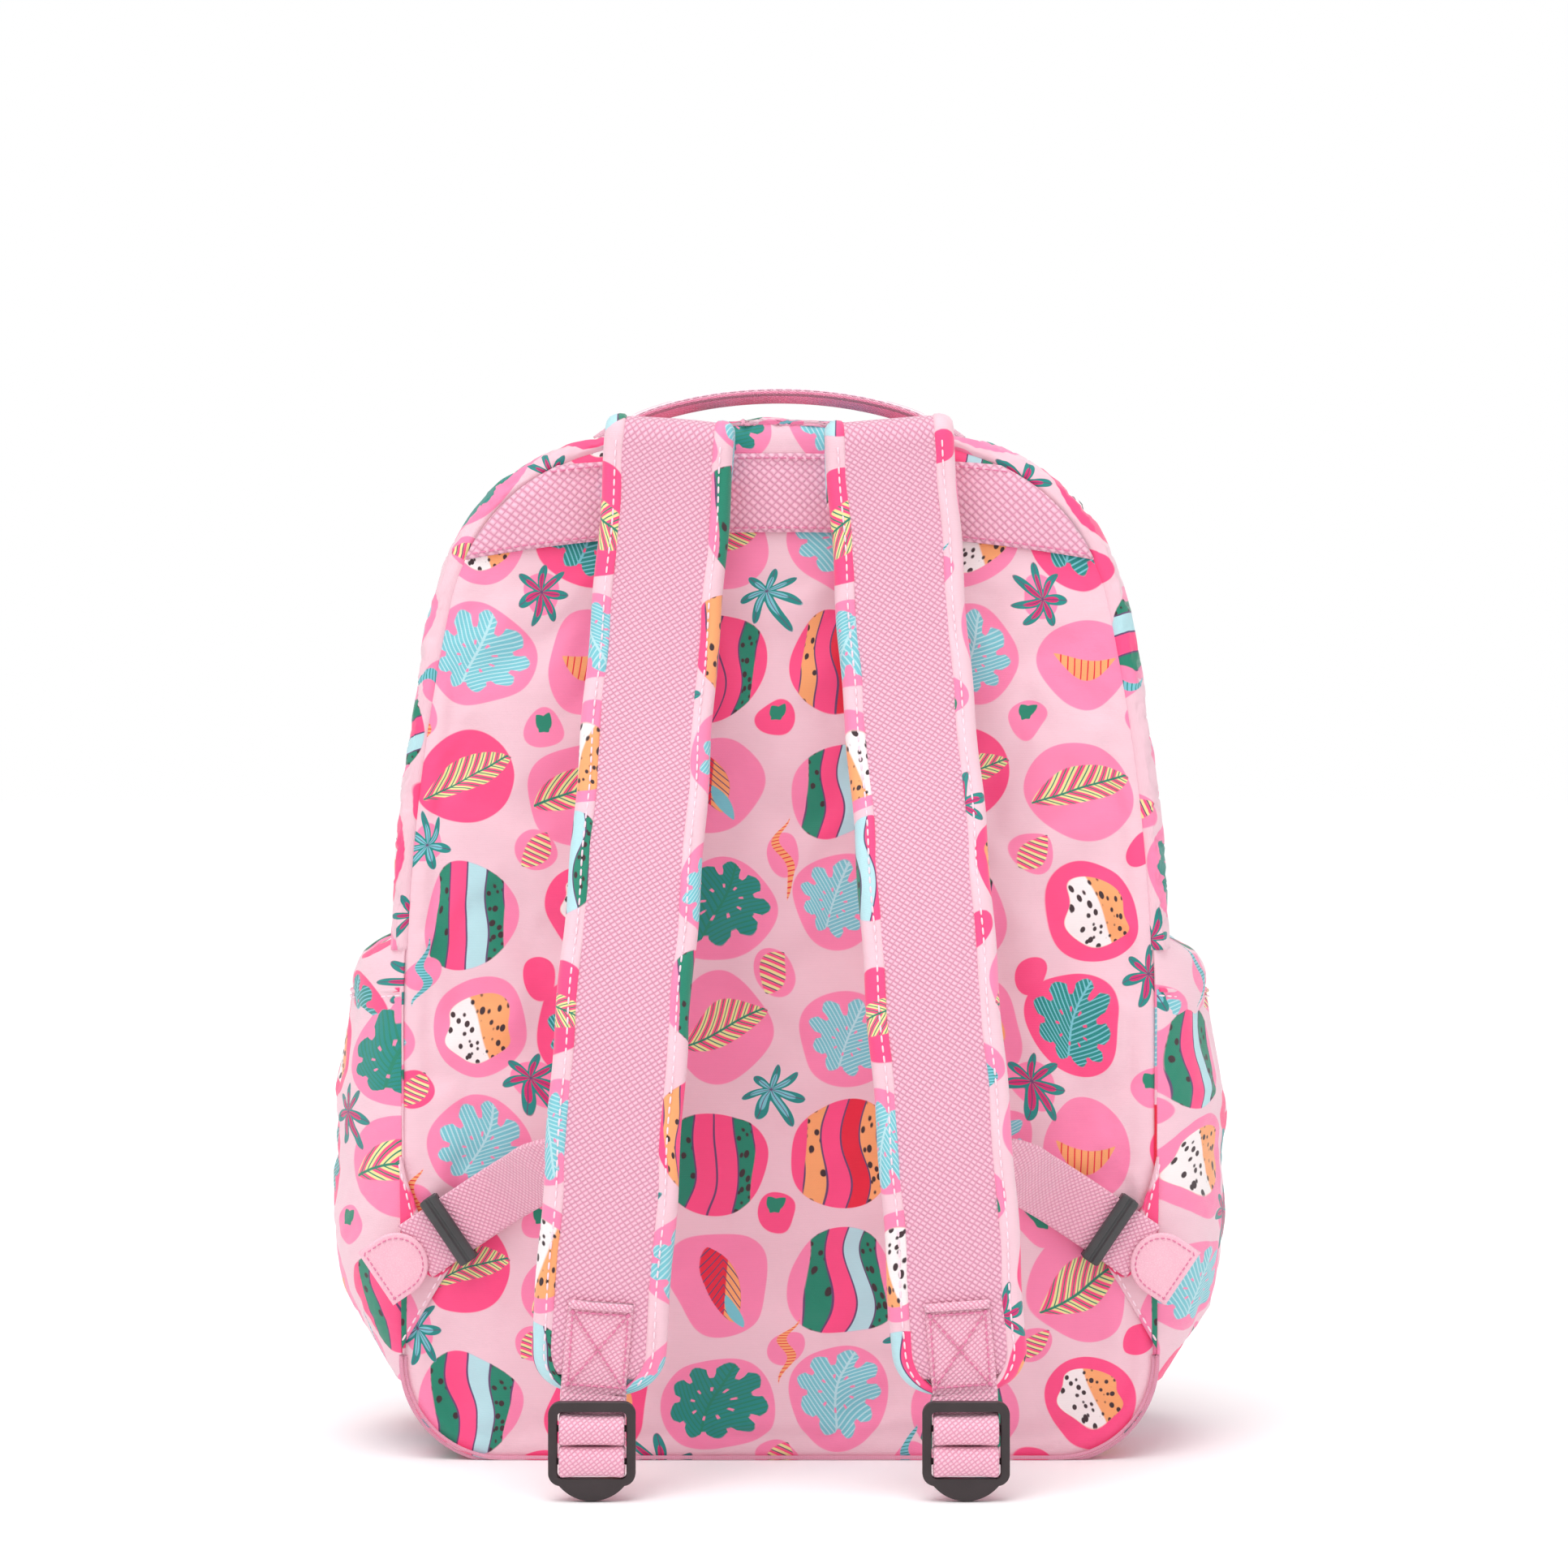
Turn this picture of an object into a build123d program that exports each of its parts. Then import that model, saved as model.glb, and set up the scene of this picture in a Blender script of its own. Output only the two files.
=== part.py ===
"""School backpack: printed polyester body, padded shoulder straps and webbing straps.

Units are millimetres. +Z is up, the shoulder straps are on the -Y side, +X is to the
right of somebody who looks at the straps. The origin is on the base, under the body.
"""
from build123d import *
import os
from math import cos, radians, sin, sqrt

# ---------------------------------------------------------------- driving dimensions
HEIGHT = 438.0            # top of the body
CROWN_R = 260.0           # radius of the rounded top
SHOULDER_R = 84.0         # radius of the upper corners
FLANK_R = 874.0           # long curve of the sides
FOOT_R = 42.0             # radius of the lower corners
CROWN_TURN = 19.1         # degrees from vertical where the crown meets the shoulder
SHOULDER_TURN = 78.0      # degrees from vertical where the shoulder meets the flank
WALL = 3.0                # fabric, foam and lining together

BACK_Y = -61.5            # outer face of the back panel
FRONT_Y = 73.5            # outer face of the front panel
PANEL_T = 2.0             # back panel fabric
FOAM_T = 6.0              # back panel padding
LINING_T = 2.0            # back panel lining
ZIP_Y = 15.0              # centre line of the main zip
TAPE_REACH = 11.0         # zip centre line to the sewn edge of a tape
COIL_GAP = 0.7            # zip centre line to a coil
COIL_W = 2.2              # width of a coil
FLAP_Z = 222.0            # height of the fold that the front flap turns about
FLAP_GAP = 0.3            # clearance over the fold
SEAM_Z = 219.0            # top of the lower side panels

SIDE_BULGE = 10.0         # lower side panel, under the pocket's mouth
SIDE_BULGE_TOP = 20.0     # lower side panel, above the pocket's mouth
POCKET_BULGE = 31.0       # side pocket
POCKET_HEM_Z = 196.0      # mouth of the side pocket
POCKET_TURN_Z = 65.0      # where the side pocket starts to taper in
POCKET_FOOT_Z = 24.0      # bottom of the side pocket

STRAP_W = 54.0            # padded shoulder strap
STRAP_WEB_W = 38.0        # webbing on its face
STRAP_X = 45.7            # strap centre at the top fold
STRAP_Z = 428.0           # height of the top fold's centre
STRAP_Y = -73.0           # depth of the top fold's centre
STRAP_SPLAY = 4.1         # degrees that each strap leans outwards
STRAP_SWING_ROOM = 3.0    # sewn root ends this far under the fold's centre
FOLD_R = 6.5              # centre line radius of the top fold
PAD_BACK, PAD_FRONT = -4.0, 2.2      # padding, measured from the strap's centre line
WEB_FRONT = 3.8           # outer face of the webbing, from the centre line
UPPER_R, UPPER_TURN = 390.6, 22.0    # strap leaves the back panel
LOWER_R, LOWER_TURN = 511.6, 27.5    # and comes upright again

LOW_W = 26.0              # adjusting webbing
LOW_T = 1.5               # thickness of one layer of it
KEEPER_X, KEEPER_Z = -138.7, 98.1    # middle of the left keeper
KEEPER_LEAN = 34.0        # rise of the adjusting webbing, in degrees

LOCK_W, LOCK_TOP, LOCK_T = 34.7, 39.7, 4.4   # ladder lock
LOCK_RAIL = 3.6
GRIP_TOP, GRIP_FLOOR = 9.4, 0.4
BAR_A_Z, BAR_B_Z, BAR_R = 29.0, 16.0, 1.3

HANDLE_Y, HANDLE_W, HANDLE_T = -36.0, 18.0, 5.0
HANDLE_HALF, HANDLE_END_Z, HANDLE_TOP_Z = 62.0, 439.5, 452.0

SPREAD = 1000.0           # longer than anything in the model

# ---------------------------------------------------------------- derived values
CROWN_C = (0.0, HEIGHT - CROWN_R)


def toward(centre, distance, turn):
    """Point at a distance from centre, turn degrees clockwise from straight up."""
    return (centre[0] + distance * sin(radians(turn)), centre[1] + distance * cos(radians(turn)))


SHOULDER_C = toward(CROWN_C, CROWN_R - SHOULDER_R, CROWN_TURN)
FLANK_C = toward(SHOULDER_C, SHOULDER_R - FLANK_R, SHOULDER_TURN)
HALF_W = FLANK_C[0] + FLANK_R
MID_Y = (BACK_Y + PANEL_T + FRONT_Y - WALL) / 2
GUSSET_HALF = (FRONT_Y - WALL - BACK_Y - PANEL_T) / 2
INNER_BACK_Y = BACK_Y + PANEL_T + FOAM_T + LINING_T

parts = {}


# ---------------------------------------------------------------- outline helpers
def arc_between(centre, radius, turn_a, turn_b):
    """Arc clockwise from turn_a to turn_b about centre, in the outline's plane."""
    return ThreePointArc(
        toward(centre, radius, turn_a),
        toward(centre, radius, (turn_a + turn_b) / 2),
        toward(centre, radius, turn_b),
    )


def outline(inset=0.0):
    """The body's front view as a face, pulled in by inset."""
    foot_c = (HALF_W - FOOT_R, FOOT_R)
    right = [
        arc_between(SHOULDER_C, SHOULDER_R - inset, CROWN_TURN, SHOULDER_TURN),
        arc_between(FLANK_C, FLANK_R - inset, SHOULDER_TURN, 90),
        Line((HALF_W - inset, FLANK_C[1]), (HALF_W - inset, FOOT_R)),
        arc_between(foot_c, FOOT_R - inset, 90, 180),
    ]
    left = [mirror(edge, about=Plane.YZ) for edge in right]
    crown = arc_between(CROWN_C, CROWN_R - inset, -CROWN_TURN, CROWN_TURN)
    base = Line((-foot_c[0], inset), (foot_c[0], inset))
    return make_face([crown, base] + right + left)


def band(z_low, z_high):
    """Everything between two heights, in the outline's plane."""
    return Pos(0, (z_low + z_high) / 2) * Rectangle(SPREAD, z_high - z_low)


def slab(face, y_low, y_high):
    """Extrude a front-view face between two depths."""
    return extrude(Plane.XZ.offset(-y_high) * face, y_high - y_low)


def ring(outer, inner, z_low, y_low, y_high, z_high=SPREAD):
    """Part of the wall round the body, between two insets, heights and depths."""
    wall = outline(outer) - outline(inner)
    return slab(wall & band(z_low, z_high), y_low, y_high)


def block(x, y, z):
    """Box between three pairs of limits."""
    size = Box(x[1] - x[0], y[1] - y[0], z[1] - z[0])
    return Pos((x[0] + x[1]) / 2, (y[0] + y[1]) / 2, (z[0] + z[1]) / 2) * size


def both_sides(name, solid):
    """Keep a left-hand solid and its mirror image."""
    parts[name + "_left"] = solid
    parts[name + "_right"] = mirror(solid, about=Plane.YZ)


# ---------------------------------------------------------------- body shell
def make_back():
    y = BACK_Y + PANEL_T
    parts["back_panel"] = slab(outline(), BACK_Y, y)
    parts["back_foam"] = slab(outline(WALL), y, y + FOAM_T)
    parts["back_lining"] = slab(outline(WALL), y + FOAM_T, INNER_BACK_Y)


def make_rear_gusset_and_zip():
    y = BACK_Y + PANEL_T
    coil_edge = COIL_GAP + COIL_W
    parts["top_gusset_rear"] = ring(0, WALL, SEAM_Z, y, ZIP_Y - TAPE_REACH)
    parts["zip_tape_rear"] = ring(1, 2, FLAP_Z, ZIP_Y - TAPE_REACH, ZIP_Y - coil_edge)
    parts["zip_coil_rear"] = ring(0.2, 2.8, FLAP_Z, ZIP_Y - coil_edge, ZIP_Y - COIL_GAP)


def make_flap():
    z = FLAP_Z + FLAP_GAP
    coil_edge = COIL_GAP + COIL_W
    parts["zip_coil_front"] = ring(0.2, 2.8, z, ZIP_Y + COIL_GAP, ZIP_Y + coil_edge)
    parts["zip_tape_front"] = ring(1, 2, z, ZIP_Y + coil_edge, ZIP_Y + TAPE_REACH)
    parts["top_gusset_front"] = ring(0, WALL, z, ZIP_Y + TAPE_REACH, FRONT_Y - WALL)
    parts["front_panel_upper"] = slab(outline() & band(z, SPREAD), FRONT_Y - WALL, FRONT_Y)


def make_front_and_base():
    parts["front_panel_lower"] = slab(outline() & band(0, FLAP_Z), FRONT_Y - WALL, FRONT_Y)
    parts["bottom_panel"] = ring(0, WALL, 0, BACK_Y + PANEL_T, FRONT_Y - WALL, FOOT_R)
    board_z = WALL + 0.3
    parts["base_board"] = block((-112, 112), (INNER_BACK_Y + 1, FRONT_Y - WALL - 1), (board_z, board_z + 2))


def bulge(sagitta, inset=0.0):
    """Plan view of a side that bulges out of the left flank by sagitta."""
    radius = (GUSSET_HALF ** 2 + sagitta ** 2) / (2 * sagitta)
    disc = Pos(-HALF_W - sagitta + radius, MID_Y) * Circle(radius - inset)
    return disc & (Pos(-HALF_W - 50, MID_Y) * Rectangle(100, 2 * GUSSET_HALF))


def upright(face, z_low, z_high):
    """Extrude a plan-view face between two heights."""
    return extrude(Pos(0, 0, z_low) * face, z_high - z_low)


def make_sides():
    low = upright(bulge(SIDE_BULGE), FOOT_R, POCKET_HEM_Z)
    top = upright(bulge(SIDE_BULGE_TOP), POCKET_HEM_Z, SEAM_Z)
    low_room = upright(bulge(SIDE_BULGE, WALL), FOOT_R + WALL, POCKET_HEM_Z + WALL)
    top_room = upright(bulge(SIDE_BULGE_TOP, WALL), POCKET_HEM_Z + WALL, SEAM_Z - WALL)
    both_sides("side_panel", low + top - low_room - top_room)


def pocket_body(inset):
    """Solid side pocket, tapering in towards the base."""
    foot = bulge(4.0, inset / 2)
    upper = upright(bulge(POCKET_BULGE, inset), POCKET_TURN_Z, POCKET_HEM_Z)
    widest = Pos(0, 0, POCKET_TURN_Z) * bulge(POCKET_BULGE, inset)
    lower = loft([Pos(0, 0, POCKET_FOOT_Z + inset) * foot, widest])
    return upper + lower


def make_side_pockets():
    cloth = 2.0
    flank = upright(bulge(SIDE_BULGE), 0, POCKET_HEM_Z)
    wall = pocket_body(0) - pocket_body(cloth) - flank - slab(outline(), BACK_Y, FRONT_Y)
    both_sides("side_pocket", wall)
    elastic = bulge(POCKET_BULGE, cloth) - bulge(POCKET_BULGE, cloth + 1.0) - bulge(SIDE_BULGE)
    both_sides("pocket_elastic", upright(elastic, POCKET_HEM_Z - 10, POCKET_HEM_Z - 1))


def make_laptop_sleeve():
    half, z_low, z_high, room = 130.0, 12.0, 290.0, 16.0
    cloth = 1.5
    outer = block((-half, half), (INNER_BACK_Y, INNER_BACK_Y + room + cloth), (z_low, z_high))
    hollow = block((cloth - half, half - cloth), (INNER_BACK_Y, INNER_BACK_Y + room), (z_low + cloth, z_high))
    parts["laptop_sleeve"] = outer - hollow


# ---------------------------------------------------------------- zip sliders and pulls
PLATE_LIFT = 1.3          # slider plate over the coils
PIN_LIFT = 5.1            # puller's pin over the coils
PIN_R = 0.7               # radius of that pin


def slider(pin_turn):
    """Zip slider over the origin: zip along X, outward along +Z, pin turned about Z."""
    half_l, half_w, ear_in, ear_out, ear_half = 5.5, 4.5, 2.3, 3.4, 1.5
    plate_top, under_top, under_t, margin = PLATE_LIFT + 1.6, -5.0, 1.4, 0.5
    top = block((-half_l, half_l), (-half_w, half_w), (PLATE_LIFT, plate_top))
    post = block((-1.5, 1.5), (-0.4, 0.4), (under_top, PLATE_LIFT))
    under_x, under_y = (margin - half_l, half_l - margin), (margin - half_w, half_w - margin)
    under = block(under_x, under_y, (under_top - under_t, under_top))
    ear = block((-ear_half, ear_half), (ear_in, ear_out), (plate_top, PIN_LIFT + 1.0))
    pin = Pos(0, 0, PIN_LIFT) * Rot(90, 0, 0) * Cylinder(PIN_R, ear_in + ear_out)
    hinge = ear + mirror(ear, about=Plane.XZ) + pin
    return top + post + under + Rot(0, 0, pin_turn) * hinge


def puller(pin_turn, droop):
    """Pull tab whose eye turns on the slider's pin, and which lies along +X."""
    eye_r, eye_w, bore_r, neck_end = 1.8, 3.6, PIN_R + 0.35, 7.0
    tab_l, tab_w, half_t = 24.0, 9.0, 0.7
    across_pin = Rot(90, 0, 0)
    eye = across_pin * Cylinder(eye_r, eye_w)
    neck = block((eye_r / 2, neck_end), (-1.7, 1.7), (-half_t, half_t))
    tab = extrude(RectangleRounded(tab_l, tab_w, 3.0), half_t, both=True)
    tab = Pos(neck_end + tab_l / 2 - 1.0, 0, 0) * tab
    shape = eye + neck + tab - across_pin * Cylinder(bore_r, 2 * eye_w)
    return Rot(0, 0, pin_turn) * (Pos(0, 0, PIN_LIFT) * Rot(0, droop, 0) * shape)


MAIN_SLIDER_TURN = 3.0    # degrees from the crown's top to each slider


def make_main_sliders():
    on_crown = Pos(0, ZIP_Y, CROWN_C[1]) * Rot(0, -MAIN_SLIDER_TURN, 0) * Pos(0, 0, CROWN_R - 0.2)
    both_sides("main_slider", on_crown * slider(0))
    both_sides("main_puller", on_crown * puller(180, 5.0))


# ---------------------------------------------------------------- front pockets
def make_front_pocket(name, half, z_low, z_high, depth, corner):
    """Flat box pocket on the front, with a zip across its face near the top."""
    cloth, zip_drop, slot = 2.0, 26.0, 6.0
    zip_z = z_high - zip_drop
    zip_half = half - corner - 4
    face_y = FRONT_Y + depth
    height = z_high - z_low
    middle = Pos(0, (z_low + z_high) / 2)
    outer = middle * RectangleRounded(2 * half, height, corner)
    hollow = middle * RectangleRounded(2 * (half - cloth), height - 2 * cloth, corner - cloth)
    slit = Pos(0, zip_z) * Rectangle(2 * zip_half, 2 * slot)
    shell = slab(outer, FRONT_Y, face_y) - slab(hollow, FRONT_Y, face_y - cloth)
    parts[name + "_shell"] = shell - slab(slit, face_y - cloth, face_y)

    coil_edge = COIL_GAP + COIL_W
    tape = Pos(0, zip_z) * (Rectangle(2 * zip_half, 2 * slot) - Rectangle(2 * zip_half, 2 * coil_edge))
    coil = Pos(0, zip_z) * (Rectangle(2 * zip_half, 2 * coil_edge) - Rectangle(2 * zip_half, 2 * COIL_GAP))
    parts[name + "_zip"] = slab(tape, face_y - 1.5, face_y - 0.5) + slab(coil, face_y - 2.2, face_y)

    on_zip = Pos(12.0 - zip_half, face_y, zip_z) * Rot(-90, 0, 0)
    parts[name + "_slider"] = on_zip * slider(90)
    parts[name + "_puller"] = on_zip * puller(90, 0.0)


# ---------------------------------------------------------------- shoulder straps
def strap_place(x, z):
    """Left strap's own frame: X across it, Z up along it."""
    return Pos(x, 0, z) * Rot(0, STRAP_SPLAY, 0)


ON_STRAP = strap_place(-STRAP_X, STRAP_Z)


def strap_fold(offset):
    """Side view of the top fold of a line parallel to the strap's centre line."""
    return JernArc((STRAP_Y + FOLD_R + offset, 0), (0, 1), FOLD_R + offset, 180)


def strap_front(offset):
    """Side view of the hanging length of such a line: away from the panel, then upright."""
    upper = JernArc((STRAP_Y - FOLD_R - offset, 0), (0, -1), UPPER_R - offset, -UPPER_TURN)
    lower = JernArc(upper @ 1, upper % 1, LOWER_R + offset, LOWER_TURN)
    return upper, lower


def ribbon(path, thickness, width):
    """Band of even thickness along a side-view path, centred on X = 0."""
    face = trace(path, line_width=thickness)
    return extrude(Plane.YZ * face, width / 2, both=True)


def strap_layer(low, high, width):
    """Layer of the strap between two offsets from its centre line."""
    offset = (low + high) / 2
    upper, lower = strap_front(offset)
    return ribbon(strap_fold(offset) + upper + lower, high - low, width)


STRAP_END = strap_front(0)[1] @ 1         # depth, and height from the fold's centre
STRAP_END_Y = STRAP_END.X
STRAP_FOOT = STRAP_END.Y


def make_straps():
    corner, reach = 17.0, 600.0
    plan = Pos(0, STRAP_FOOT + reach / 2) * RectangleRounded(STRAP_W, reach, corner)
    keep = slab(plan, -400, 0)
    both_sides("strap_pad", ON_STRAP * (strap_layer(PAD_BACK, PAD_FRONT, STRAP_W) & keep))
    both_sides("strap_webbing", ON_STRAP * (strap_layer(PAD_FRONT, WEB_FRONT, STRAP_WEB_W) & keep))
    root = block(
        (-STRAP_W / 2, STRAP_W / 2),
        (STRAP_Y + FOLD_R + PAD_BACK, STRAP_Y + FOLD_R + 3.4),
        (-28.0, -STRAP_SWING_ROOM),
    )
    both_sides("strap_root", ON_STRAP * root)


# ---------------------------------------------------------------- ladder locks
LOCK_Y = STRAP_END_Y - 9.9
STRAP_END_X = -STRAP_X - sin(radians(STRAP_SPLAY)) * (STRAP_Z - BAR_A_Z) / cos(radians(STRAP_SPLAY))
AT_LOCK = Pos(STRAP_END_X, 0, 0)


def make_ladder_locks():
    merge, top_rail, grip_r = 3.0, 4.0, 17.0      # frame runs this far into the grip
    middle = (GRIP_TOP + LOCK_TOP) / 2
    height = LOCK_TOP - GRIP_TOP
    frame = Pos(0, middle - merge / 2) * RectangleRounded(LOCK_W, height + merge, 5.0)
    opening = RectangleRounded(LOCK_W - 2 * LOCK_RAIL, height - top_rail, 2.0)
    window = Pos(0, middle - top_rail / 2) * opening
    grip = Pos(0, GRIP_FLOOR + grip_r) * Circle(grip_r) & band(GRIP_FLOOR, GRIP_TOP)
    lock = slab(frame + grip - window, LOCK_Y - LOCK_T / 2, LOCK_Y + LOCK_T / 2)
    for z in (BAR_A_Z, BAR_B_Z):
        lock += Pos(0, LOCK_Y, z) * Rot(0, 90, 0) * Cylinder(BAR_R, LOCK_W - LOCK_RAIL)
    both_sides("ladder_lock", AT_LOCK * lock)


def make_strap_tabs():
    """Webbing tab: sewn on the strap's face, round the lock's upper bar, sewn behind."""
    t, sewn_front, sewn_back, overlap = 1.4, 38.0, 22.0, 1.0
    end_z = STRAP_Z + STRAP_FOOT
    bar = (LOCK_Y, BAR_A_Z)
    radius = BAR_R + 0.35 + t / 2
    start = toward(bar, radius, -35)
    finish = toward(bar, radius, 125)
    front_y = STRAP_END_Y - WEB_FRONT - t / 2
    back_y = STRAP_END_Y - PAD_BACK + t / 2
    leaves = (front_y, end_z + overlap)
    knee = (front_y - 0.7, BAR_A_Z + 6)
    wrap = ThreePointArc(start, toward(bar, radius, -135), finish)
    path = Line(leaves, knee) + Line(knee, start) + wrap + Line(finish, (back_y, end_z + overlap))
    face_patch = strap_layer(WEB_FRONT, WEB_FRONT + t, LOW_W)
    face_patch &= block((-50, 50), (-400, 0), (STRAP_FOOT, STRAP_FOOT + sewn_front))
    lower = strap_front(PAD_BACK - t / 2)[1]
    sewn_share = 1 - sewn_back / lower.length
    back_leg = ribbon(ThreePointArc(lower @ sewn_share, lower @ ((1 + sewn_share) / 2), lower @ 1), t, LOW_W)
    both_sides("strap_tab", AT_LOCK * ribbon(path, t, LOW_W) + ON_STRAP * (face_patch + back_leg))


def make_adjuster_loops():
    """The adjusting webbing where it goes round the lock's lower bar."""
    radius = BAR_R + LOW_T / 2 + 0.05
    bar = (LOCK_Y, BAR_B_Z)
    wrap = ThreePointArc(toward(bar, radius, 0), toward(bar, radius, -90), toward(bar, radius, 180))
    high = Line(toward(bar, radius, 0), (LOCK_Y + 9.0, BAR_B_Z + radius))
    low = Line(toward(bar, radius, 180), (LOCK_Y + 9.0, BAR_B_Z - radius))
    both_sides("adjuster_loop", AT_LOCK * ribbon(high + wrap + low, LOW_T, LOW_W))


def make_webbing_runs():
    """The adjusting webbing, both layers, behind the strap."""
    gap = 3.0
    middle = PAD_BACK - gap - LOW_T
    lower = strap_front(middle)[1]
    start, stop = lower @ 0.62, lower @ 0.97
    run = ribbon(ThreePointArc(start, lower @ 0.8, stop), 2 * LOW_T, LOW_W)
    both_sides("webbing_run", ON_STRAP * run)


# ---------------------------------------------------------------- lower webbing, wings, keepers
ON_WEBBING = Pos(KEEPER_X, 0, KEEPER_Z) * Rot(0, -KEEPER_LEAN, 0)
WING_T = 3.0
WING_FRONT_Y = BACK_Y - WING_T
WEB_MID_Y = WING_FRONT_Y - LOW_T          # the two layers touch here
WING_EDGE = -8.0                          # wing's end, along the webbing from the keeper
TAIL_END = -36.0                          # webbing's free end, along it from the keeper
TIP_T = 1.2                               # vinyl patch over that end


def along_webbing(s, w):
    """Front-view point at s along the webbing and w across it, from the keeper."""
    lean = radians(KEEPER_LEAN)
    return (KEEPER_X + s * cos(lean) - w * sin(lean), KEEPER_Z + s * sin(lean) + w * cos(lean))


def make_side_wings():
    seam_x = 1.0 - HALF_W
    corners = [(seam_x, 127), along_webbing(WING_EDGE, 13), along_webbing(WING_EDGE, -13), (seam_x, 48)]
    both_sides("side_wing", slab(make_face(Polyline(*corners, close=True)), WING_FRONT_Y, BACK_Y))


def make_lower_webbing():
    tail_start, flat_end, lift_r, lift_turn, lift_run = -20.0, 18.0, 26.0, 52.0, 24.0
    flat = Line((tail_start, WEB_MID_Y), (flat_end, WEB_MID_Y))
    lift = JernArc(flat @ 1, (1, 0), lift_r, -lift_turn)
    away = Line(lift @ 1, lift @ 1 + (lift % 1) * lift_run)
    layers = extrude(trace(flat + lift + away, line_width=2 * LOW_T), LOW_W / 2, both=True)
    tail = block((TAIL_END, tail_start), (WEB_MID_Y - LOW_T, WEB_MID_Y), (-LOW_W / 2, LOW_W / 2))
    both_sides("lower_webbing", ON_WEBBING * (layers + tail))


def make_webbing_tips():
    """Vinyl patch over the webbing's free end, square outside and round inside."""
    length, half = 23.0, LOW_W / 2
    square_length = length - half
    face = Pos(TAIL_END + square_length / 2, 0) * Rectangle(square_length, LOW_W)
    face += Pos(TAIL_END + square_length, 0) * Circle(half)
    face &= Pos(TAIL_END + length / 2, 0) * Rectangle(length, LOW_W)
    front_y = WEB_MID_Y - LOW_T
    both_sides("webbing_tip", ON_WEBBING * slab(face, front_y - TIP_T, front_y))


def make_keepers():
    length, room, rail, rear_t, front_t = 8.0, 0.35, 2.6, 1.6, 2.6
    y_rear = WEB_MID_Y + LOW_T + room
    y_front = WEB_MID_Y - LOW_T - TIP_T - room
    half = LOW_W / 2 + room
    reach = (-length / 2, length / 2)
    frame = block(reach, (y_front - front_t, y_rear + rear_t), (-half - rail, half + rail))
    both_sides("keeper", ON_WEBBING * (frame - block(reach, (y_front, y_rear), (-half, half))))


# ---------------------------------------------------------------- yoke and handle
def make_yoke():
    low_z, drop_r, width, t = 391.0, 768.0, 33.0, 1.6
    centre_z = low_z - drop_r
    rim = Pos(0, centre_z) * (Circle(drop_r + width) - Circle(drop_r))
    parts["yoke_webbing"] = slab(rim & outline(2.0) & band(300, SPREAD), BACK_Y - t, BACK_Y)


def make_handle():
    y = (HANDLE_Y - HANDLE_W / 2, HANDLE_Y + HANDLE_W / 2)
    overrun = 1.1
    rise = (HANDLE_TOP_Z - HANDLE_END_Z) * overrun ** 2
    low = HANDLE_TOP_Z - rise
    arch = ThreePointArc((-HANDLE_HALF * overrun, low), (0, HANDLE_TOP_Z), (HANDLE_HALF * overrun, low))
    whole = slab(trace(arch, line_width=HANDLE_T), *y)
    parts["grab_handle"] = whole & block((-HANDLE_HALF, HANDLE_HALF), (-SPREAD, SPREAD), (0, SPREAD))

    start_x, end_x, start_drop, end_drop = HANDLE_HALF + 0.3, 88.0, 30.0, 20.0
    top_z = HANDLE_END_Z + HANDLE_T / 2
    end_z = CROWN_C[1] + sqrt(CROWN_R ** 2 - end_x ** 2) + 1.5
    top_edge = [(start_x, top_z), (end_x, end_z)]
    low_edge = [(end_x, end_z - end_drop), (start_x, top_z - start_drop)]
    wedge = Polyline(*top_edge, *low_edge, close=True)
    sewn = slab(make_face(wedge) - outline(), *y)
    both_sides("handle_end", mirror(sewn, about=Plane.YZ))


# ---------------------------------------------------------------- build and write
make_back()
make_rear_gusset_and_zip()
make_flap()
make_front_and_base()
make_sides()
make_side_pockets()
make_laptop_sleeve()
make_main_sliders()
make_front_pocket("lower_pocket", 122.0, 25.0, 200.0, 44.0, 24.0)
make_front_pocket("upper_pocket", 92.0, 262.0, 388.0, 16.0, 20.0)
make_straps()
make_ladder_locks()
make_strap_tabs()
make_adjuster_loops()
make_webbing_runs()
make_side_wings()
make_lower_webbing()
make_webbing_tips()
make_keepers()
make_yoke()
make_handle()

os.makedirs("parts", exist_ok=True)
for name, solid in parts.items():
    export_step(solid, f"parts/{name}.step")
print(len(parts), "nodes")
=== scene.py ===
"""School backpack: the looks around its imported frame. Lengths are millimetres until a mesh is made.

+Z is up, the shoulder straps are on the -Y side, and the camera looks along +Y.
"""
import random
from functools import partial
from math import cos, pi, radians, sin, sqrt

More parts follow.
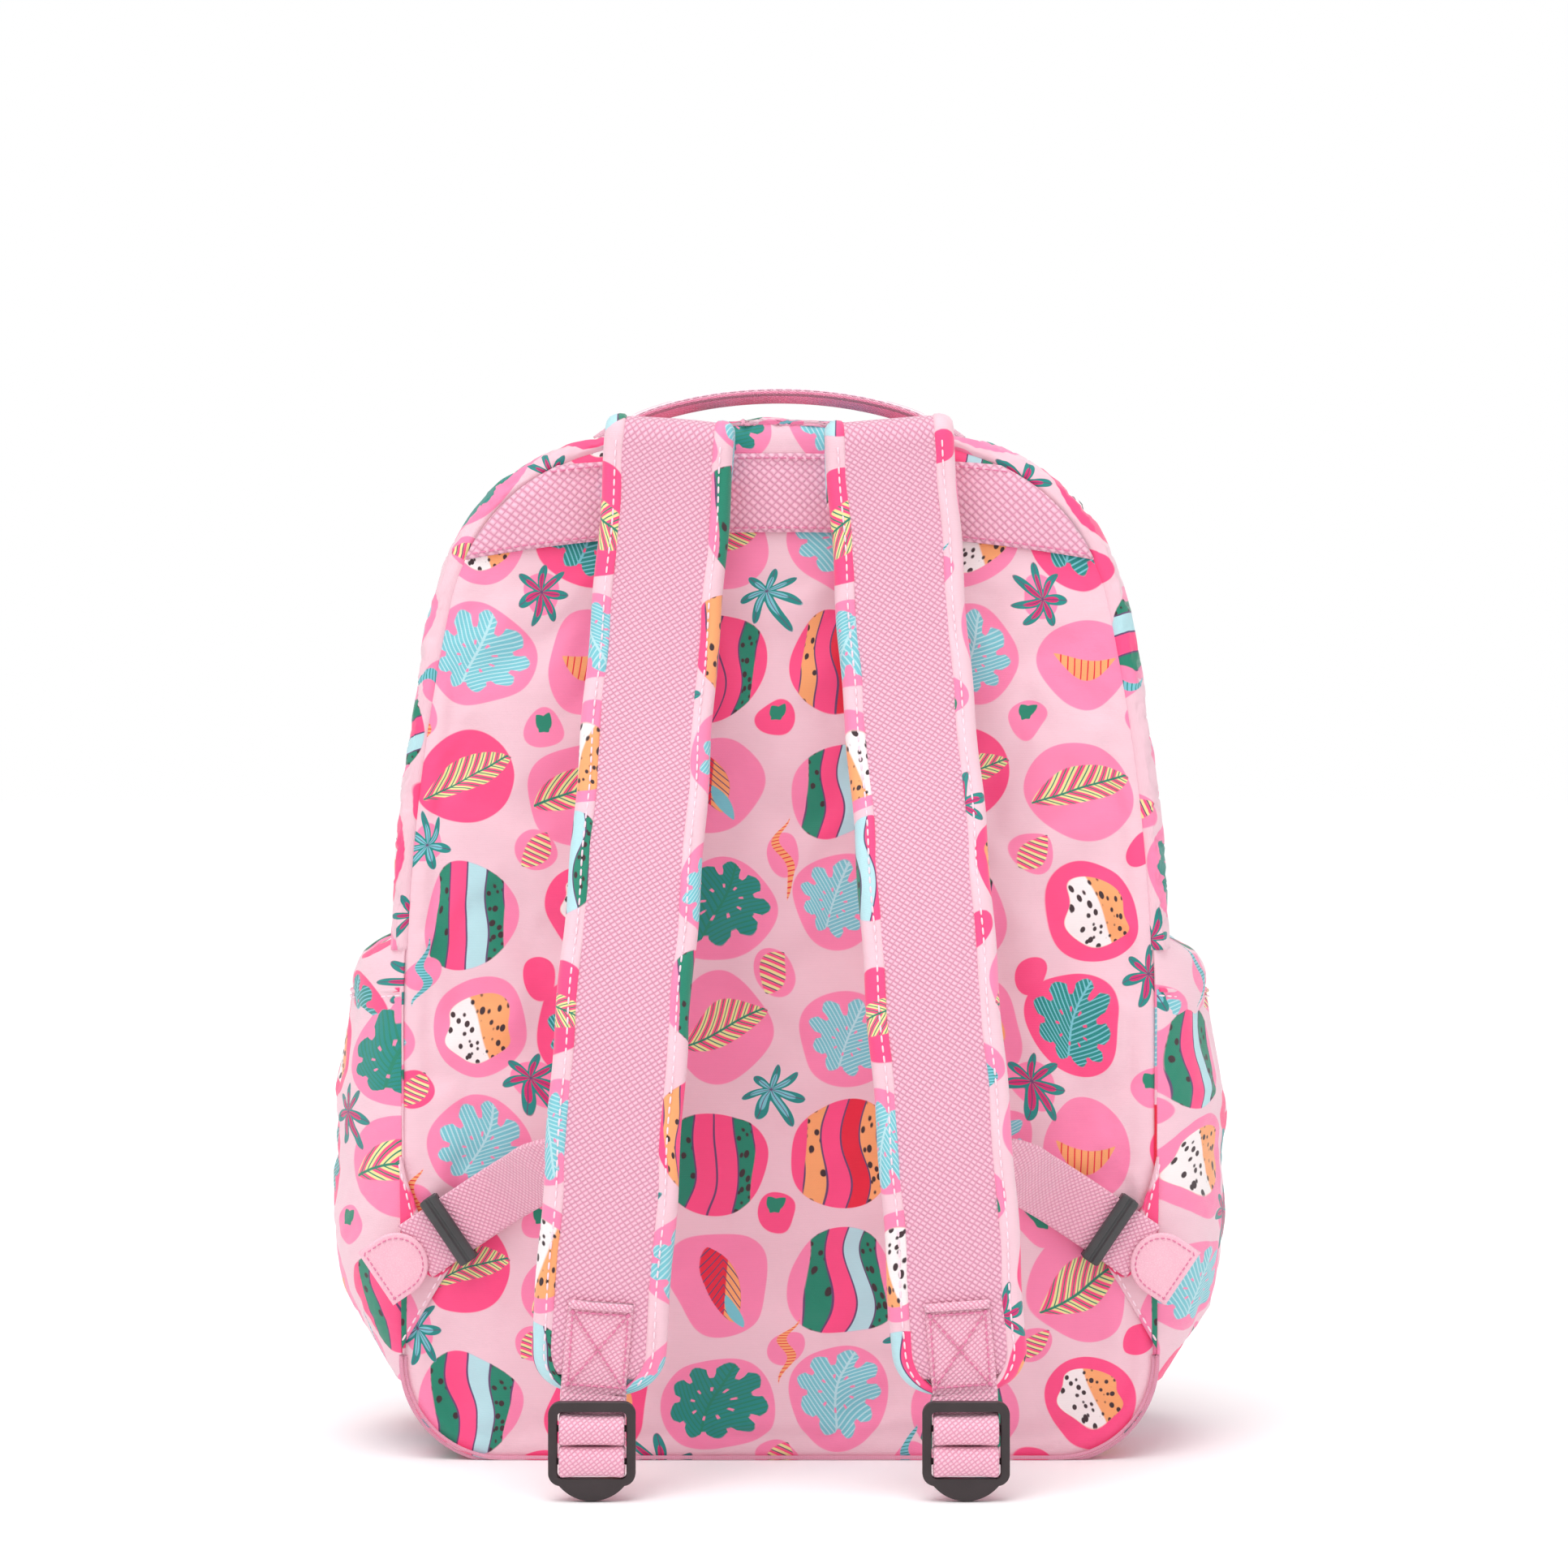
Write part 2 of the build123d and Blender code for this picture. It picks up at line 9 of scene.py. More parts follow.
import bpy
import numpy as np
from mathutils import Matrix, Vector


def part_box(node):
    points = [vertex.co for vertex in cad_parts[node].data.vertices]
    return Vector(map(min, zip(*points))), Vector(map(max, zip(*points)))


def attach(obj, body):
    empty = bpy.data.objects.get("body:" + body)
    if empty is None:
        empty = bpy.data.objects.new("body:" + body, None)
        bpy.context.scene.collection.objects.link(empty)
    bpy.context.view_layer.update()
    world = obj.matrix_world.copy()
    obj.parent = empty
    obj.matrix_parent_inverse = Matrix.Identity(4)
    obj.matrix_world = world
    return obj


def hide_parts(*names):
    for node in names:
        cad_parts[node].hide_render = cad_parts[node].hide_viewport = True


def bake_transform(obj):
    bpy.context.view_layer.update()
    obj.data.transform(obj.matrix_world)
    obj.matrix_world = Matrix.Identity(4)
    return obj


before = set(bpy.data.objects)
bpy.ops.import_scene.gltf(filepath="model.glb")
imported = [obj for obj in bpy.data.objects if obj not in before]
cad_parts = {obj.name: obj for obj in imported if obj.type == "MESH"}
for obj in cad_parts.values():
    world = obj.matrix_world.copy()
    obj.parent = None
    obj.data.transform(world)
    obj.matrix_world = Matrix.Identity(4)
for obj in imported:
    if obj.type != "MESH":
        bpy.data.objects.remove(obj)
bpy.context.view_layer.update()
MM = 0.001


def corners(node):
    """Lowest and highest corner of a CAD node, in millimetres."""
    low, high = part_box(node)
    return low / MM, high / MM


# ---------------------------------------------------------------- measures, from the frame
PANEL = corners("back_panel")
HEIGHT = PANEL[1].z
HALF_W = PANEL[1].x
BACK_Y = PANEL[0].y
FRONT_Y = corners("front_panel_lower")[1].y
REAR_GUSSET = corners("top_gusset_rear")
FRONT_GUSSET = corners("top_gusset_front")
SEAM_Z = REAR_GUSSET[0].z
ZIP_Y = (corners("zip_coil_rear")[0].y + corners("zip_coil_front")[1].y) / 2
POCKET = corners("side_pocket_right")
WEB_T = 1.5               # one layer of adjusting webbing
LOW_W = 26.0              # its width

CROWN_R, CROWN_TURN = 260.0, 19.1        # outline of the body: radius, and degrees from vertical
SHOULDER_R, SHOULDER_TURN = 84.0, 78.0
FLANK_R, FOOT_R = 874.0, 42.0

# ---------------------------------------------------------------- camera
CAMERA_X, CAMERA_Z = 2.0, 285.0
CAMERA_AWAY = 1600.0      # from the back panel
LENS = 87.2
SENSOR = 36.0


def make_camera():
    data = bpy.data.cameras.new("camera")
    data.lens = LENS
    data.sensor_width = SENSOR
    camera = bpy.data.objects.new("camera", data)
    camera.location = (CAMERA_X * MM, (BACK_Y - CAMERA_AWAY) * MM, CAMERA_Z * MM)
    camera.rotation_euler = (radians(90), 0, 0)
    bpy.context.scene.collection.objects.link(camera)
    bpy.context.scene.camera = camera


make_camera()


# ---------------------------------------------------------------- shader arithmetic
class Graph:
    """A material's node tree, with short ways to add what the cloth patterns need."""

    def __init__(self, name):
        self.material = bpy.data.materials.new(name)
        self.material.use_nodes = True
        self.tree = self.material.node_tree
        self.shader = self.tree.nodes["Principled BSDF"]

    def node(self, kind, **settings):
        made = self.tree.nodes.new(kind)
        for key, value in settings.items():
            setattr(made, key, value)
        return made

    def put(self, socket, value):
        """Link a Field, or set a plain number or colour."""
        if isinstance(value, Field):
            self.tree.links.new(value.socket, socket)
        else:
            socket.default_value = value

    def math(self, operation, *values, clamp=False):
        made = self.node("ShaderNodeMath", operation=operation, use_clamp=clamp)
        for socket, value in zip(made.inputs, values):
            self.put(socket, value)
        return Field(self, made.outputs[0])

    def parts(self, vector, kind="ShaderNodeSeparateXYZ"):
        """The three parts of a vector or colour."""
        made = self.node(kind)
        self.put(made.inputs[0], vector)
        return [Field(self, out) for out in made.outputs]

    def uv(self):
        """Cloth coordinates in millimetres, as two fields."""
        made = self.node("ShaderNodeUVMap", uv_map="cloth")
        u, v, _ = self.parts(Field(self, made.outputs[0]))
        return u / MM, v / MM

    def spot(self):
        """Place on the object, in metres."""
        return Field(self, self.node("ShaderNodeTexCoord").outputs["Object"])

    def place(self):
        """Coordinates in millimetres across and up the object, for meshes without cloth coordinates."""
        x, y, z = (part / MM for part in self.parts(self.spot()))
        return x + y, z + y * 0.5

    def point(self, x, y, z=0.0):
        made = self.node("ShaderNodeCombineXYZ")
        for socket, value in zip(made.inputs, (x, y, z)):
            self.put(socket, value)
        return Field(self, made.outputs[0])

    def noise(self, vector, scale, detail=2.0, rough=0.5):
        made = self.node("ShaderNodeTexNoise")
        self.put(made.inputs["Vector"], vector)
        for key, value in (("Scale", scale), ("Detail", detail), ("Roughness", rough)):
            made.inputs[key].default_value = value
        return Field(self, made.outputs[0])

    def white(self, x, y, seed=0.0):
        """Three random fields that stay the same while x and y do."""
        made = self.node("ShaderNodeTexWhiteNoise", noise_dimensions="3D")
        self.put(made.inputs["Vector"], self.point(x, y, seed))
        return self.parts(Field(self, made.outputs["Color"]), "ShaderNodeSeparateColor")

    def table(self, position, colours):
        """The colour at position, from 0 to 1, of evenly spaced flat steps."""
        made = self.node("ShaderNodeValToRGB")
        ramp = made.color_ramp
        ramp.interpolation = "CONSTANT"
        while len(ramp.elements) < len(colours):
            ramp.elements.new(0.5)
        for step, colour in enumerate(colours):
            ramp.elements[step].position = step / len(colours)
            ramp.elements[step].color = colour
        self.put(made.inputs[0], position)
        return Field(self, made.outputs[0])

    def mix(self, share, under, over):
        made = self.node("ShaderNodeMix", data_type="RGBA")
        self.put(made.inputs[0], share)
        self.put(made.inputs[6], under)
        self.put(made.inputs[7], over)
        return Field(self, made.outputs[2])

    def bump(self, height, distance, strength=1.0, under=None):
        made = self.node("ShaderNodeBump")
        made.inputs["Strength"].default_value = strength
        made.inputs["Distance"].default_value = distance
        self.put(made.inputs["Height"], height)
        if under is not None:
            self.put(made.inputs["Normal"], under)
        return Field(self, made.outputs[0])

    def surface(self, colour, rough, normal):
        """What every material here sets on its shader."""
        for key, value in (("Base Color", colour), ("Roughness", rough), ("Normal", normal)):
            self.put(self.shader.inputs[key], value)


def operation(kind, swapped=False):
    """A Field's method that adds one arithmetic node. swapped puts the field last."""
    def method(field, *others):
        values = (*others, field) if swapped else (field, *others)
        return field.graph.math(kind, *values)

    return method


class Field:
    """One output of a node tree, with the usual arithmetic."""

    def __init__(self, graph, socket):
        self.graph, self.socket = graph, socket

    __add__, __radd__ = operation("ADD"), operation("ADD", swapped=True)
    __sub__, __rsub__ = operation("SUBTRACT"), operation("SUBTRACT", swapped=True)
    __mul__, __rmul__ = operation("MULTIPLY"), operation("MULTIPLY", swapped=True)
    __truediv__ = operation("DIVIDE")
    __lt__, __gt__ = operation("LESS_THAN"), operation("GREATER_THAN")
    lowest, highest = operation("MINIMUM"), operation("MAXIMUM")
    floor, fract, abs = operation("FLOOR"), operation("FRACT"), operation("ABSOLUTE")
    sin, cos, angle = operation("SINE"), operation("COSINE"), operation("ARCTAN2")
    sqrt, power = operation("SQRT"), operation("POWER")

    def clamp(self):
        """The value held between 0 and 1."""
        return self.graph.math("MULTIPLY", self, 1.0, clamp=True)

    def wrap(self, low, high):
        return self.graph.math("WRAP", self, high, low)

    def is_near(self, value, reach=0.5):
        return self.graph.math("COMPARE", self, value, reach)

    def below(self, edge, soft=0.15):
        """1 where this is under edge, and 0 over it, with a short soft step."""
        return self.graph.math("MULTIPLY_ADD", self - edge, -1.0 / soft, 0.5, clamp=True)

    def step(self, low, high):
        """0 under low, 1 over high and straight between."""
        return self.graph.math("MULTIPLY", self - low, 1.0 / (high - low), clamp=True)


def rgb(red, green, blue):
    """Linear colour of a display colour given from 0 to 255."""
    channels = [value / 255 for value in (red, green, blue)]
    linear = [c / 12.92 if c <= 0.04045 else ((c + 0.055) / 1.055) ** 2.4 for c in channels]
    return (*linear, 1.0)


# ---------------------------------------------------------------- colours of the print
PALE = rgb(243, 200, 212)
BLOB = rgb(253, 134, 178)
HOT = rgb(255, 72, 134)
ORANGE = rgb(252, 168, 108)
YELLOW = rgb(243, 231, 158)
TEAL = rgb(6, 138, 132)
GREEN = rgb(0, 132, 104)
SKY = rgb(118, 198, 210)
ICE = rgb(184, 225, 232)
RED = rgb(232, 12, 56)
INK = rgb(52, 26, 34)
PLUM = rgb(96, 62, 108)
WHITE = rgb(250, 240, 240)

CELL = 51.7               # spacing of the big dots
KINDS = 4                 # kinds of dot along each side of the repeat
BIG_R, SMALL_R = 21.5, 8.5


def leaf(x, y, length, width):
    """Pointed leaf along +y: 1 inside."""
    t = (y / length).clamp()
    half = (t * pi).sin().power(0.75) * width
    return (x.abs() - half).below(0.0, 0.5) * (y > 0.0) * (y < length)


def palm(r, turn):
    """Broad leaf cut by slits between its ribs, with a few holes beside the midrib."""
    lobes = (turn * 9.0 + (r * 0.05)).cos()
    slit = lobes.step(-0.2, -0.85) * (r - 9.0).step(0.0, 6.0)
    body = 16.5 + lobes * 1.5 + turn.cos() * 1.6
    holes = ((turn * 4.5).sin().abs() - 0.93).step(0.0, 0.04)
    holes = holes * (r - 5.5).step(0.0, 0.6) * (8.0 - r).step(0.0, 0.6)
    return (r - body).below(0.0, 0.6) * (0.6 - slit).step(-0.05, 0.05) * (1.0 - holes)


def ribs(x, y, pitch=2.3):
    """Fine slanting veins on both sides of a midrib."""
    veins = (((y - x.abs() * 0.9) / pitch).fract() - 0.5).abs().below(0.16, 0.12)
    return veins.highest((x.abs() - 0.5).below(0.0, 0.3))


def spots(g, x, y, scale=0.3):
    """Irregular dark spots."""
    made = g.node("ShaderNodeTexVoronoi", feature="F1")
    g.put(made.inputs["Vector"], g.point(x, y * 0.8))
    made.inputs["Scale"].default_value = scale
    made.inputs["Randomness"].default_value = 0.75
    return Field(g, made.outputs["Distance"]).below(0.36, 0.08)


def scattered(g, u, v, shift, seed=0.0):
    """The place in a cell of the print, from its shifted centre: x, y and distance, and the cell's kind."""
    col, row = ((along / CELL).floor().wrap(0.0, float(KINDS)) for along in (u, v))
    chance = g.white(col, row, seed)
    x, y = ((along / CELL).fract() * CELL - CELL / 2 + (share - 0.5) * shift
            for along, share in zip((u, v), chance))
    return x, y, (x * x + y * y).sqrt(), row * float(KINDS) + col


def any_of(kind, *kinds):
    """1 in the cells whose kind is among those listed."""
    found = kind.is_near(kinds[0])
    for other in kinds[1:]:
        found = found + kind.is_near(other)
    return found


def print_layers(g, u, v):
    """The whole print at cloth coordinates u, v: dots of several sizes with leaves and stripes."""
    warp = g.noise(g.point(u * 0.024, v * 0.024), 1.0, 0.0) - 0.5
    drift = g.noise(g.point(u * 0.024 + 31.0, v * 0.024 + 7.0), 1.0, 0.0) - 0.5
    x, y, r, kind = scattered(g, u + warp * 17.0, v + drift * 17.0, 7.0)
    where = partial(any_of, kind)
    position = (kind + 0.5) / KINDS ** 2
    ground = g.table(position, [BLOB, BLOB, HOT, BLOB, BLOB, HOT, BLOB, BLOB,
                                HOT, BLOB, BLOB, HOT, BLOB, BLOB, HOT, BLOB])
    first = g.table(position, [SKY, GREEN, ORANGE, TEAL, GREEN, TEAL, YELLOW, RED,
                               ORANGE, SKY, HOT, GREEN, SKY, ORANGE, TEAL, YELLOW])
    second = g.table(position, [ICE, ICE, INK, GREEN, ICE, SKY, HOT, ORANGE,
                                RED, ICE, YELLOW, HOT, ICE, HOT, SKY, GREEN])
    inside = (r - BIG_R).below(0.0, 0.5)
    colour = g.mix(inside, PALE, ground)

    # round slit leaves with fine ribs
    slope = 0.35
    lx, ly = x * cos(slope) - y * sin(slope), x * sin(slope) + y * cos(slope)
    turn = lx.angle(ly)
    palms = palm(r, turn) * where(0, 3, 9, 12, 14)
    colour = g.mix(palms, colour, first)
    colour = g.mix(palms * ribs(lx, ly), colour, second)

    # upright bands, spotted or plain
    sway = x + (y * 0.17).sin() * 1.6
    band = ((sway + 16.0) / 8.0).floor()
    bands = where(1, 4, 8, 11) * inside * (x.abs() - 15.0).below(0.0, 0.5)
    for number, tint in enumerate((first, HOT, second, first)):
        colour = g.mix(bands * band.is_near(float(number)), colour, tint)
    dark = spots(g, x, y)
    colour = g.mix(bands * dark * (band.is_near(0.0) + band.is_near(3.0)), colour, INK)
    rim = (((sway + 16.0) / 8.0).fract() - 0.5).abs().step(0.44, 0.47)
    colour = g.mix(bands * rim, colour, PLUM)

    # striped feathers across a dot
    tilt = 1.15
    fx, fy = x * cos(tilt) - y * sin(tilt), x * sin(tilt) + y * cos(tilt) + 20.0
    feather = leaf(fx + (fy * 0.09).sin() * 2.0, fy, 42.0, 8.5) * where(5, 6, 15)
    stripe = (((fy - fx.abs() * 1.1) / 6.4).fract()).below(0.5, 0.06)
    line = ((((fy - fx.abs() * 1.1) / 3.2).fract()) - 0.5).abs().below(0.1, 0.06)
    colour = g.mix(feather, colour, g.mix(stripe, YELLOW, HOT))
    colour = g.mix(feather * line.highest((fx.abs() - 0.45).below(0.0, 0.3)), colour, GREEN)

    # big spotted patch
    patch = where(2, 13) * (r + (y * 0.4).sin() * 1.2 - 15.0).below(0.0, 0.5)
    colour = g.mix(patch, colour, ORANGE)
    colour = g.mix(patch * (x + y * 0.4 - 2.0).below(0.0, 0.8), colour, WHITE)
    colour = g.mix(patch * dark, colour, INK)

    # tulip-like bud of long petals
    petals = leaf(x * 0.92 + y * 0.3, y + 14.0, 30.0, 8.0) * where(7)
    colour = g.mix(petals, colour, RED)
    colour = g.mix(petals * (x - y * 0.12 - 1.0).step(-0.3, 0.3), colour, ORANGE)
    scales = (((y + x.abs()) / 3.1).fract() - 0.5).abs().below(0.1, 0.06)
    colour = g.mix(petals * scales, colour, PLUM)
    colour = g.mix(leaf(x + y * 0.55, y + 17.0, 15.0, 3.6) * where(7), colour, SKY)

    # curved striped pod
    pod = leaf(y - x * x * 0.03 + 4.0, x + 15.0, 30.0, 5.2) * where(10)
    colour = g.mix(pod, colour, ORANGE)
    colour = g.mix(pod * ((x / 3.4).fract() - 0.5).abs().below(0.1, 0.06), colour, RED)
    return small_layer(g, u, v, colour)


def small_layer(g, u, v, colour):
    """Little dots, leaves and pods between the big dots."""
    bend = g.noise(g.point(u * 0.04 + 11.0, v * 0.04 + 3.0), 1.0, 0.0) - 0.5
    x, y, r, kind = scattered(g, u + CELL / 2 + bend * 14.0, v + CELL / 2 - bend * 12.0, 9.0, seed=9.0)
    where = partial(any_of, kind)
    dot = (r - SMALL_R).below(0.0, 0.5)
    colour = g.mix(dot * (1.0 - where(3, 12)), colour, g.mix(where(2, 7, 8, 13), BLOB, HOT))

    # striped bud in a dot
    bud = leaf(x * 0.8 - y * 0.6, x * 0.6 + y * 0.8 + 9.0, 18.0, 5.0) * where(0, 6, 13)
    lines = (((y + x * 0.4) / 2.6).fract()).below(0.4, 0.08)
    colour = g.mix(bud, colour, g.mix(lines, YELLOW, HOT))
    colour = g.mix(bud * (((y + x * 0.4) / 2.6).fract() - 0.5).abs().below(0.09, 0.06), colour, PLUM)

    # pointed star leaves
    turn = x.angle(y)
    points = 9.5 + (turn * 7.0).cos() * 4.6 - (turn * 0.5).cos().abs() * 1.5
    star = (r - points).below(0.0, 0.6) * where(3, 5, 12, 14)
    colour = g.mix(star, colour, g.mix(where(3, 14), SKY, rgb(214, 26, 110)))
    colour = g.mix(star * (r - points + 4.2).step(-0.3, 0.3), colour, TEAL)
    colour = g.mix(star * ((turn * 3.5).sin().abs() * r).below(0.5, 0.3), colour, PLUM)

    # wavy tendrils that taper at both ends
    curl = ((x + (y * 0.3).sin() * 3.2).abs() - 2.3 + y * y * 0.01).below(0.0, 0.4) * where(1, 4, 9, 11)
    colour = g.mix(curl, colour, g.mix(where(1, 11), ORANGE, SKY))
    fine = ((y / 1.5).fract() - 0.5).abs().below(0.14, 0.1)
    colour = g.mix(curl * fine, colour, g.mix(where(1, 11), RED, TEAL))

    # twin leaves
    for side in (1.0, -1.0):
        sprig = leaf(x * side * 0.8 - y * 0.6 + 1.0, x * side * 0.6 + y * 0.8 + 2.0, 9.0, 2.7)
        colour = g.mix(sprig * where(8, 10, 15), colour, GREEN)
    return colour


def cloth_sheen(g, sheen=0.25):
    g.shader.inputs["Sheen Weight"].default_value = sheen
    g.shader.inputs["Sheen Roughness"].default_value = 0.5


def print_material():
    """Fine printed polyester: crosswise ribs, faint crumple and a soft shine."""
    g = Graph("printed_fabric")
    u, v = g.uv()
    colour = print_layers(g, u, v)
    rib = (v * (2 * pi / 0.62)).sin() * 0.5 + 0.5
    yarn = (u * (2 * pi / 0.5)).sin() * (v * (pi / 0.62)).sin()
    slub = g.noise(g.point(u * 0.25, v * 3.2), 1.0, 2.0)
    worn = g.noise(g.point(u * 0.02, v * 0.02), 1.0, 3.0)
    shade = (0.93 + rib * 0.035 + slub * 0.05 + worn * 0.03).lowest(1.0)
    dimmed = g.node("ShaderNodeVectorMath", operation="SCALE")
    g.put(dimmed.inputs[0], colour)
    g.put(dimmed.inputs["Scale"], shade)
    crumple = g.noise(g.point(u * 0.03, v * 0.03), 1.0, 4.0, 0.55)
    coarse = g.bump(crumple, 0.004, 0.35)
    fine = g.bump(rib * 0.6 + yarn * 0.4 + slub * 0.5, 0.00012, 0.5, coarse)
    g.surface(Field(g, dimmed.outputs[0]), 0.52 + slub * 0.12, fine)
    cloth_sheen(g)
    return g.material


def weave_material(name, top, gap, pitch_u, pitch_v, slant=0.22, depth=0.0005):
    """Webbing: offset rows of plump lozenges with dark points between them. The gap colour is painted shade
    where the yarns sink, and the top colour lies on the raised puffs.
    """
    g = Graph(name)
    u, v = g.uv()
    wander = g.noise(g.point(u * 0.3, v * 0.3), 1.0, 2.0) - 0.5
    across = (u + v * slant + wander * 0.7) * (2 * pi / pitch_u)
    along = (v - u * slant * 0.25 + wander * 0.5) * (2 * pi / pitch_v)
    rising, falling = (across + along) * 0.5, (across - along) * 0.5
    puff = rising.cos().abs() * falling.cos().abs().power(0.5)
    fibre = ((u * 2.2 + v * 1.2) * (2 * pi)).sin() * 0.5 + 0.5
    cloud = g.noise(g.point(u * 0.9, v * 0.9), 1.0, 2.0)
    # painted shade and light: the colour runs from gap to top with the puff height that also makes the bump
    tone = (puff * 1.05 + cloud * 0.24 - fibre * 0.06).clamp()
    g.surface(g.mix(tone, gap, top), 0.74 - puff * 0.14, g.bump(puff + fibre * 0.06, depth))
    cloth_sheen(g, 0.4)
    return g.material


def plastic_material(name, base, light, rough=0.38):
    """Moulded plastic: faint flow marks, lighter scuffs and a soft gloss."""
    g = Graph(name)
    flow, grain = g.noise(g.spot(), 90.0, 3.0), g.noise(g.spot(), 2600.0, 2.0)
    g.surface(g.mix(flow * 0.55 + grain * 0.15, base, light), rough + flow * 0.14,
              g.bump(grain, 0.00008, 0.5, g.bump(flow, 0.0004, 0.25)))
    return g.material


def plain_cloth_material(name, base, light, pitch=0.7, rough=0.65, depth=0.0001, laid=True):
    """Plain woven cloth or tape: fine crossing yarns. laid is False where there are no cloth coordinates."""
    g = Graph(name)
    u, v = g.uv() if laid else g.place()
    warp = (u * (2 * pi / pitch)).sin()
    weft = (v * (2 * pi / pitch)).sin()
    cloud = g.noise(g.point(u * 0.06, v * 0.06), 1.0, 3.0)
    mesh = warp * weft * 0.5 + 0.5
    g.surface(g.mix(mesh * 0.5 + cloud * 0.5, base, light), rough + cloud * 0.1,
              g.bump(mesh, depth, 0.6, g.bump(cloud, 0.002, 0.3)))
    cloth_sheen(g)
    return g.material


def thread_material(name, base, light):
    """Twisted sewing thread."""
    g = Graph(name)
    fray = g.noise(g.spot(), 3000.0, 2.0)
    g.surface(g.mix(fray, base, light), 0.45, g.bump(fray, 0.0001, 0.6))
    return g.material


def vinyl_material(name, base, light):
    """Soft coated vinyl with a fine leather grain."""
    g = Graph(name)
    u, v = g.uv()
    made = g.node("ShaderNodeTexVoronoi", feature="DISTANCE_TO_EDGE")
    g.put(made.inputs["Vector"], g.point(u, v))
    made.inputs["Scale"].default_value = 1.1
    grain = Field(g, made.outputs["Distance"]).step(0.0, 0.2)
    cloud = g.noise(g.point(u * 0.1, v * 0.1), 1.0, 3.0)
    g.surface(g.mix(grain * 0.4 + cloud * 0.5, base, light), 0.42 + cloud * 0.12,
              g.bump(grain, 0.00012, 0.5, g.bump(cloud, 0.001, 0.3)))
    return g.material


def metal_material(name, base, light):
    """Painted or plated die-cast metal with cloudy lighter patches."""
    g = Graph(name)
    cloud = g.noise(g.spot(), 300.0, 3.0)
    g.surface(g.mix(cloud, base, light), 0.28 + cloud * 0.14, g.bump(cloud, 0.0001, 0.4))
    g.shader.inputs["Metallic"].default_value = 0.85
    return g.material


PRINT = print_material()
# the second colour of each webbing is painted shade for the gaps between its yarns
WEB_TOP, WEB_GAP_SHADE = rgb(250, 192, 212), rgb(216, 134, 166)
STRAP_WEAVE = weave_material("webbing_wide", WEB_TOP, WEB_GAP_SHADE, 3.0, 2.7)
YOKE_WEAVE = weave_material("webbing_yoke", WEB_TOP, WEB_GAP_SHADE, 3.9, 3.6, slant=0.1)
# narrow webbing: its own pale pink, painted lighter than the strap webbing to offset the strap's shadow on it
LOW_WEAVE = weave_material("webbing_narrow", rgb(255, 198, 216), rgb(228, 142, 174), 2.4, 2.3, depth=0.0004)
THREAD = thread_material("thread", rgb(246, 196, 216), rgb(255, 242, 247))
PINK_THREAD = thread_material("thread_dark", rgb(212, 100, 146), rgb(240, 150, 184))
BUCKLE = plastic_material("buckle_plastic", rgb(36, 26, 28), rgb(66, 56, 58))
KEEPER_PLASTIC = plastic_material("keeper_plastic", rgb(52, 53, 54), rgb(86, 87, 88), 0.42)
VINYL = vinyl_material("vinyl", rgb(240, 176, 196), rgb(252, 206, 218))
LINING = plain_cloth_material("lining", rgb(232, 150, 178), rgb(244, 176, 198), 0.8)
TAPE = plain_cloth_material("zip_tape", rgb(236, 120, 160), rgb(248, 150, 184), 0.6)
ELASTIC = plain_cloth_material("elastic", rgb(226, 110, 152), rgb(246, 150, 184), 1.1, 0.75, 0.0002)
INNER_CLOTH = plain_cloth_material("inner_lining", rgb(232, 150, 178), rgb(244, 176, 198), 0.8, laid=False)
HOT_CLOTH = plain_cloth_material("piping", rgb(250, 112, 160), rgb(255, 146, 184), 0.6)
# handle: the underside's hot pink is its own colour, painted lighter to offset the shade under the handle;
# the top is the narrow webbing painted lighter still, for the same shade
HANDLE_FACE = weave_material("webbing_underside", rgb(255, 158, 190), rgb(250, 112, 158), 2.1, 2.5,
                             depth=0.0004)
HANDLE_TOP = weave_material("webbing_handle", rgb(255, 205, 220), rgb(240, 150, 184), 2.1, 2.5, depth=0.0004)
HANDLE_EDGE = plain_cloth_material("webbing_edge", rgb(250, 226, 234), rgb(255, 240, 244), 1.2, 0.8)
BOARD = plastic_material("board", rgb(60, 60, 62), rgb(88, 88, 90), 0.5)
COIL = plastic_material("zip_coil", rgb(240, 96, 148), rgb(252, 132, 174), 0.3)
ZIP_METAL = metal_material("zip_metal", rgb(214, 132, 160), rgb(240, 170, 192))


# ---------------------------------------------------------------- meshes
def make_piece(name, verts, faces, uvs=None, material=PRINT, smooth=True):
    """Mesh object from millimetre vertices. uvs are cloth millimetres, one for each vertex."""
    mesh = bpy.data.meshes.new(name)
    mesh.from_pydata((np.array(verts, float) * MM).tolist(), [], [list(f) for f in faces])
    mesh.update()
    layer = mesh.uv_layers.new(name="cloth")
    if uvs is None:
        uvs = [(v[0], v[2]) for v in verts]
    loops = np.zeros(len(mesh.loops), int)
    mesh.loops.foreach_get("vertex_index", loops)
    layer.data.foreach_set("uv", (np.array(uvs, float)[loops] * MM).ravel())
    mesh.polygons.foreach_set("use_smooth", [smooth] * len(mesh.polygons))
    piece = bpy.data.objects.new(name, mesh)
    bpy.context.scene.collection.objects.link(piece)
    mesh.materials.append(material)
    return piece


def grid_faces(rows, columns, closed=False):
    """Quads of a grid whose vertices run along columns first."""
    faces = []
    for r in range(rows - 1):
        for c in range(columns if closed else columns - 1):
            d = (c + 1) % columns
            faces.append((r * columns + c, r * columns + d, (r + 1) * columns + d, (r + 1) * columns + c))
    return faces


def turned(faces, when=True):
    """The same faces, looking the other way where when is true."""
    return [face[::-1] for face in faces] if when else faces


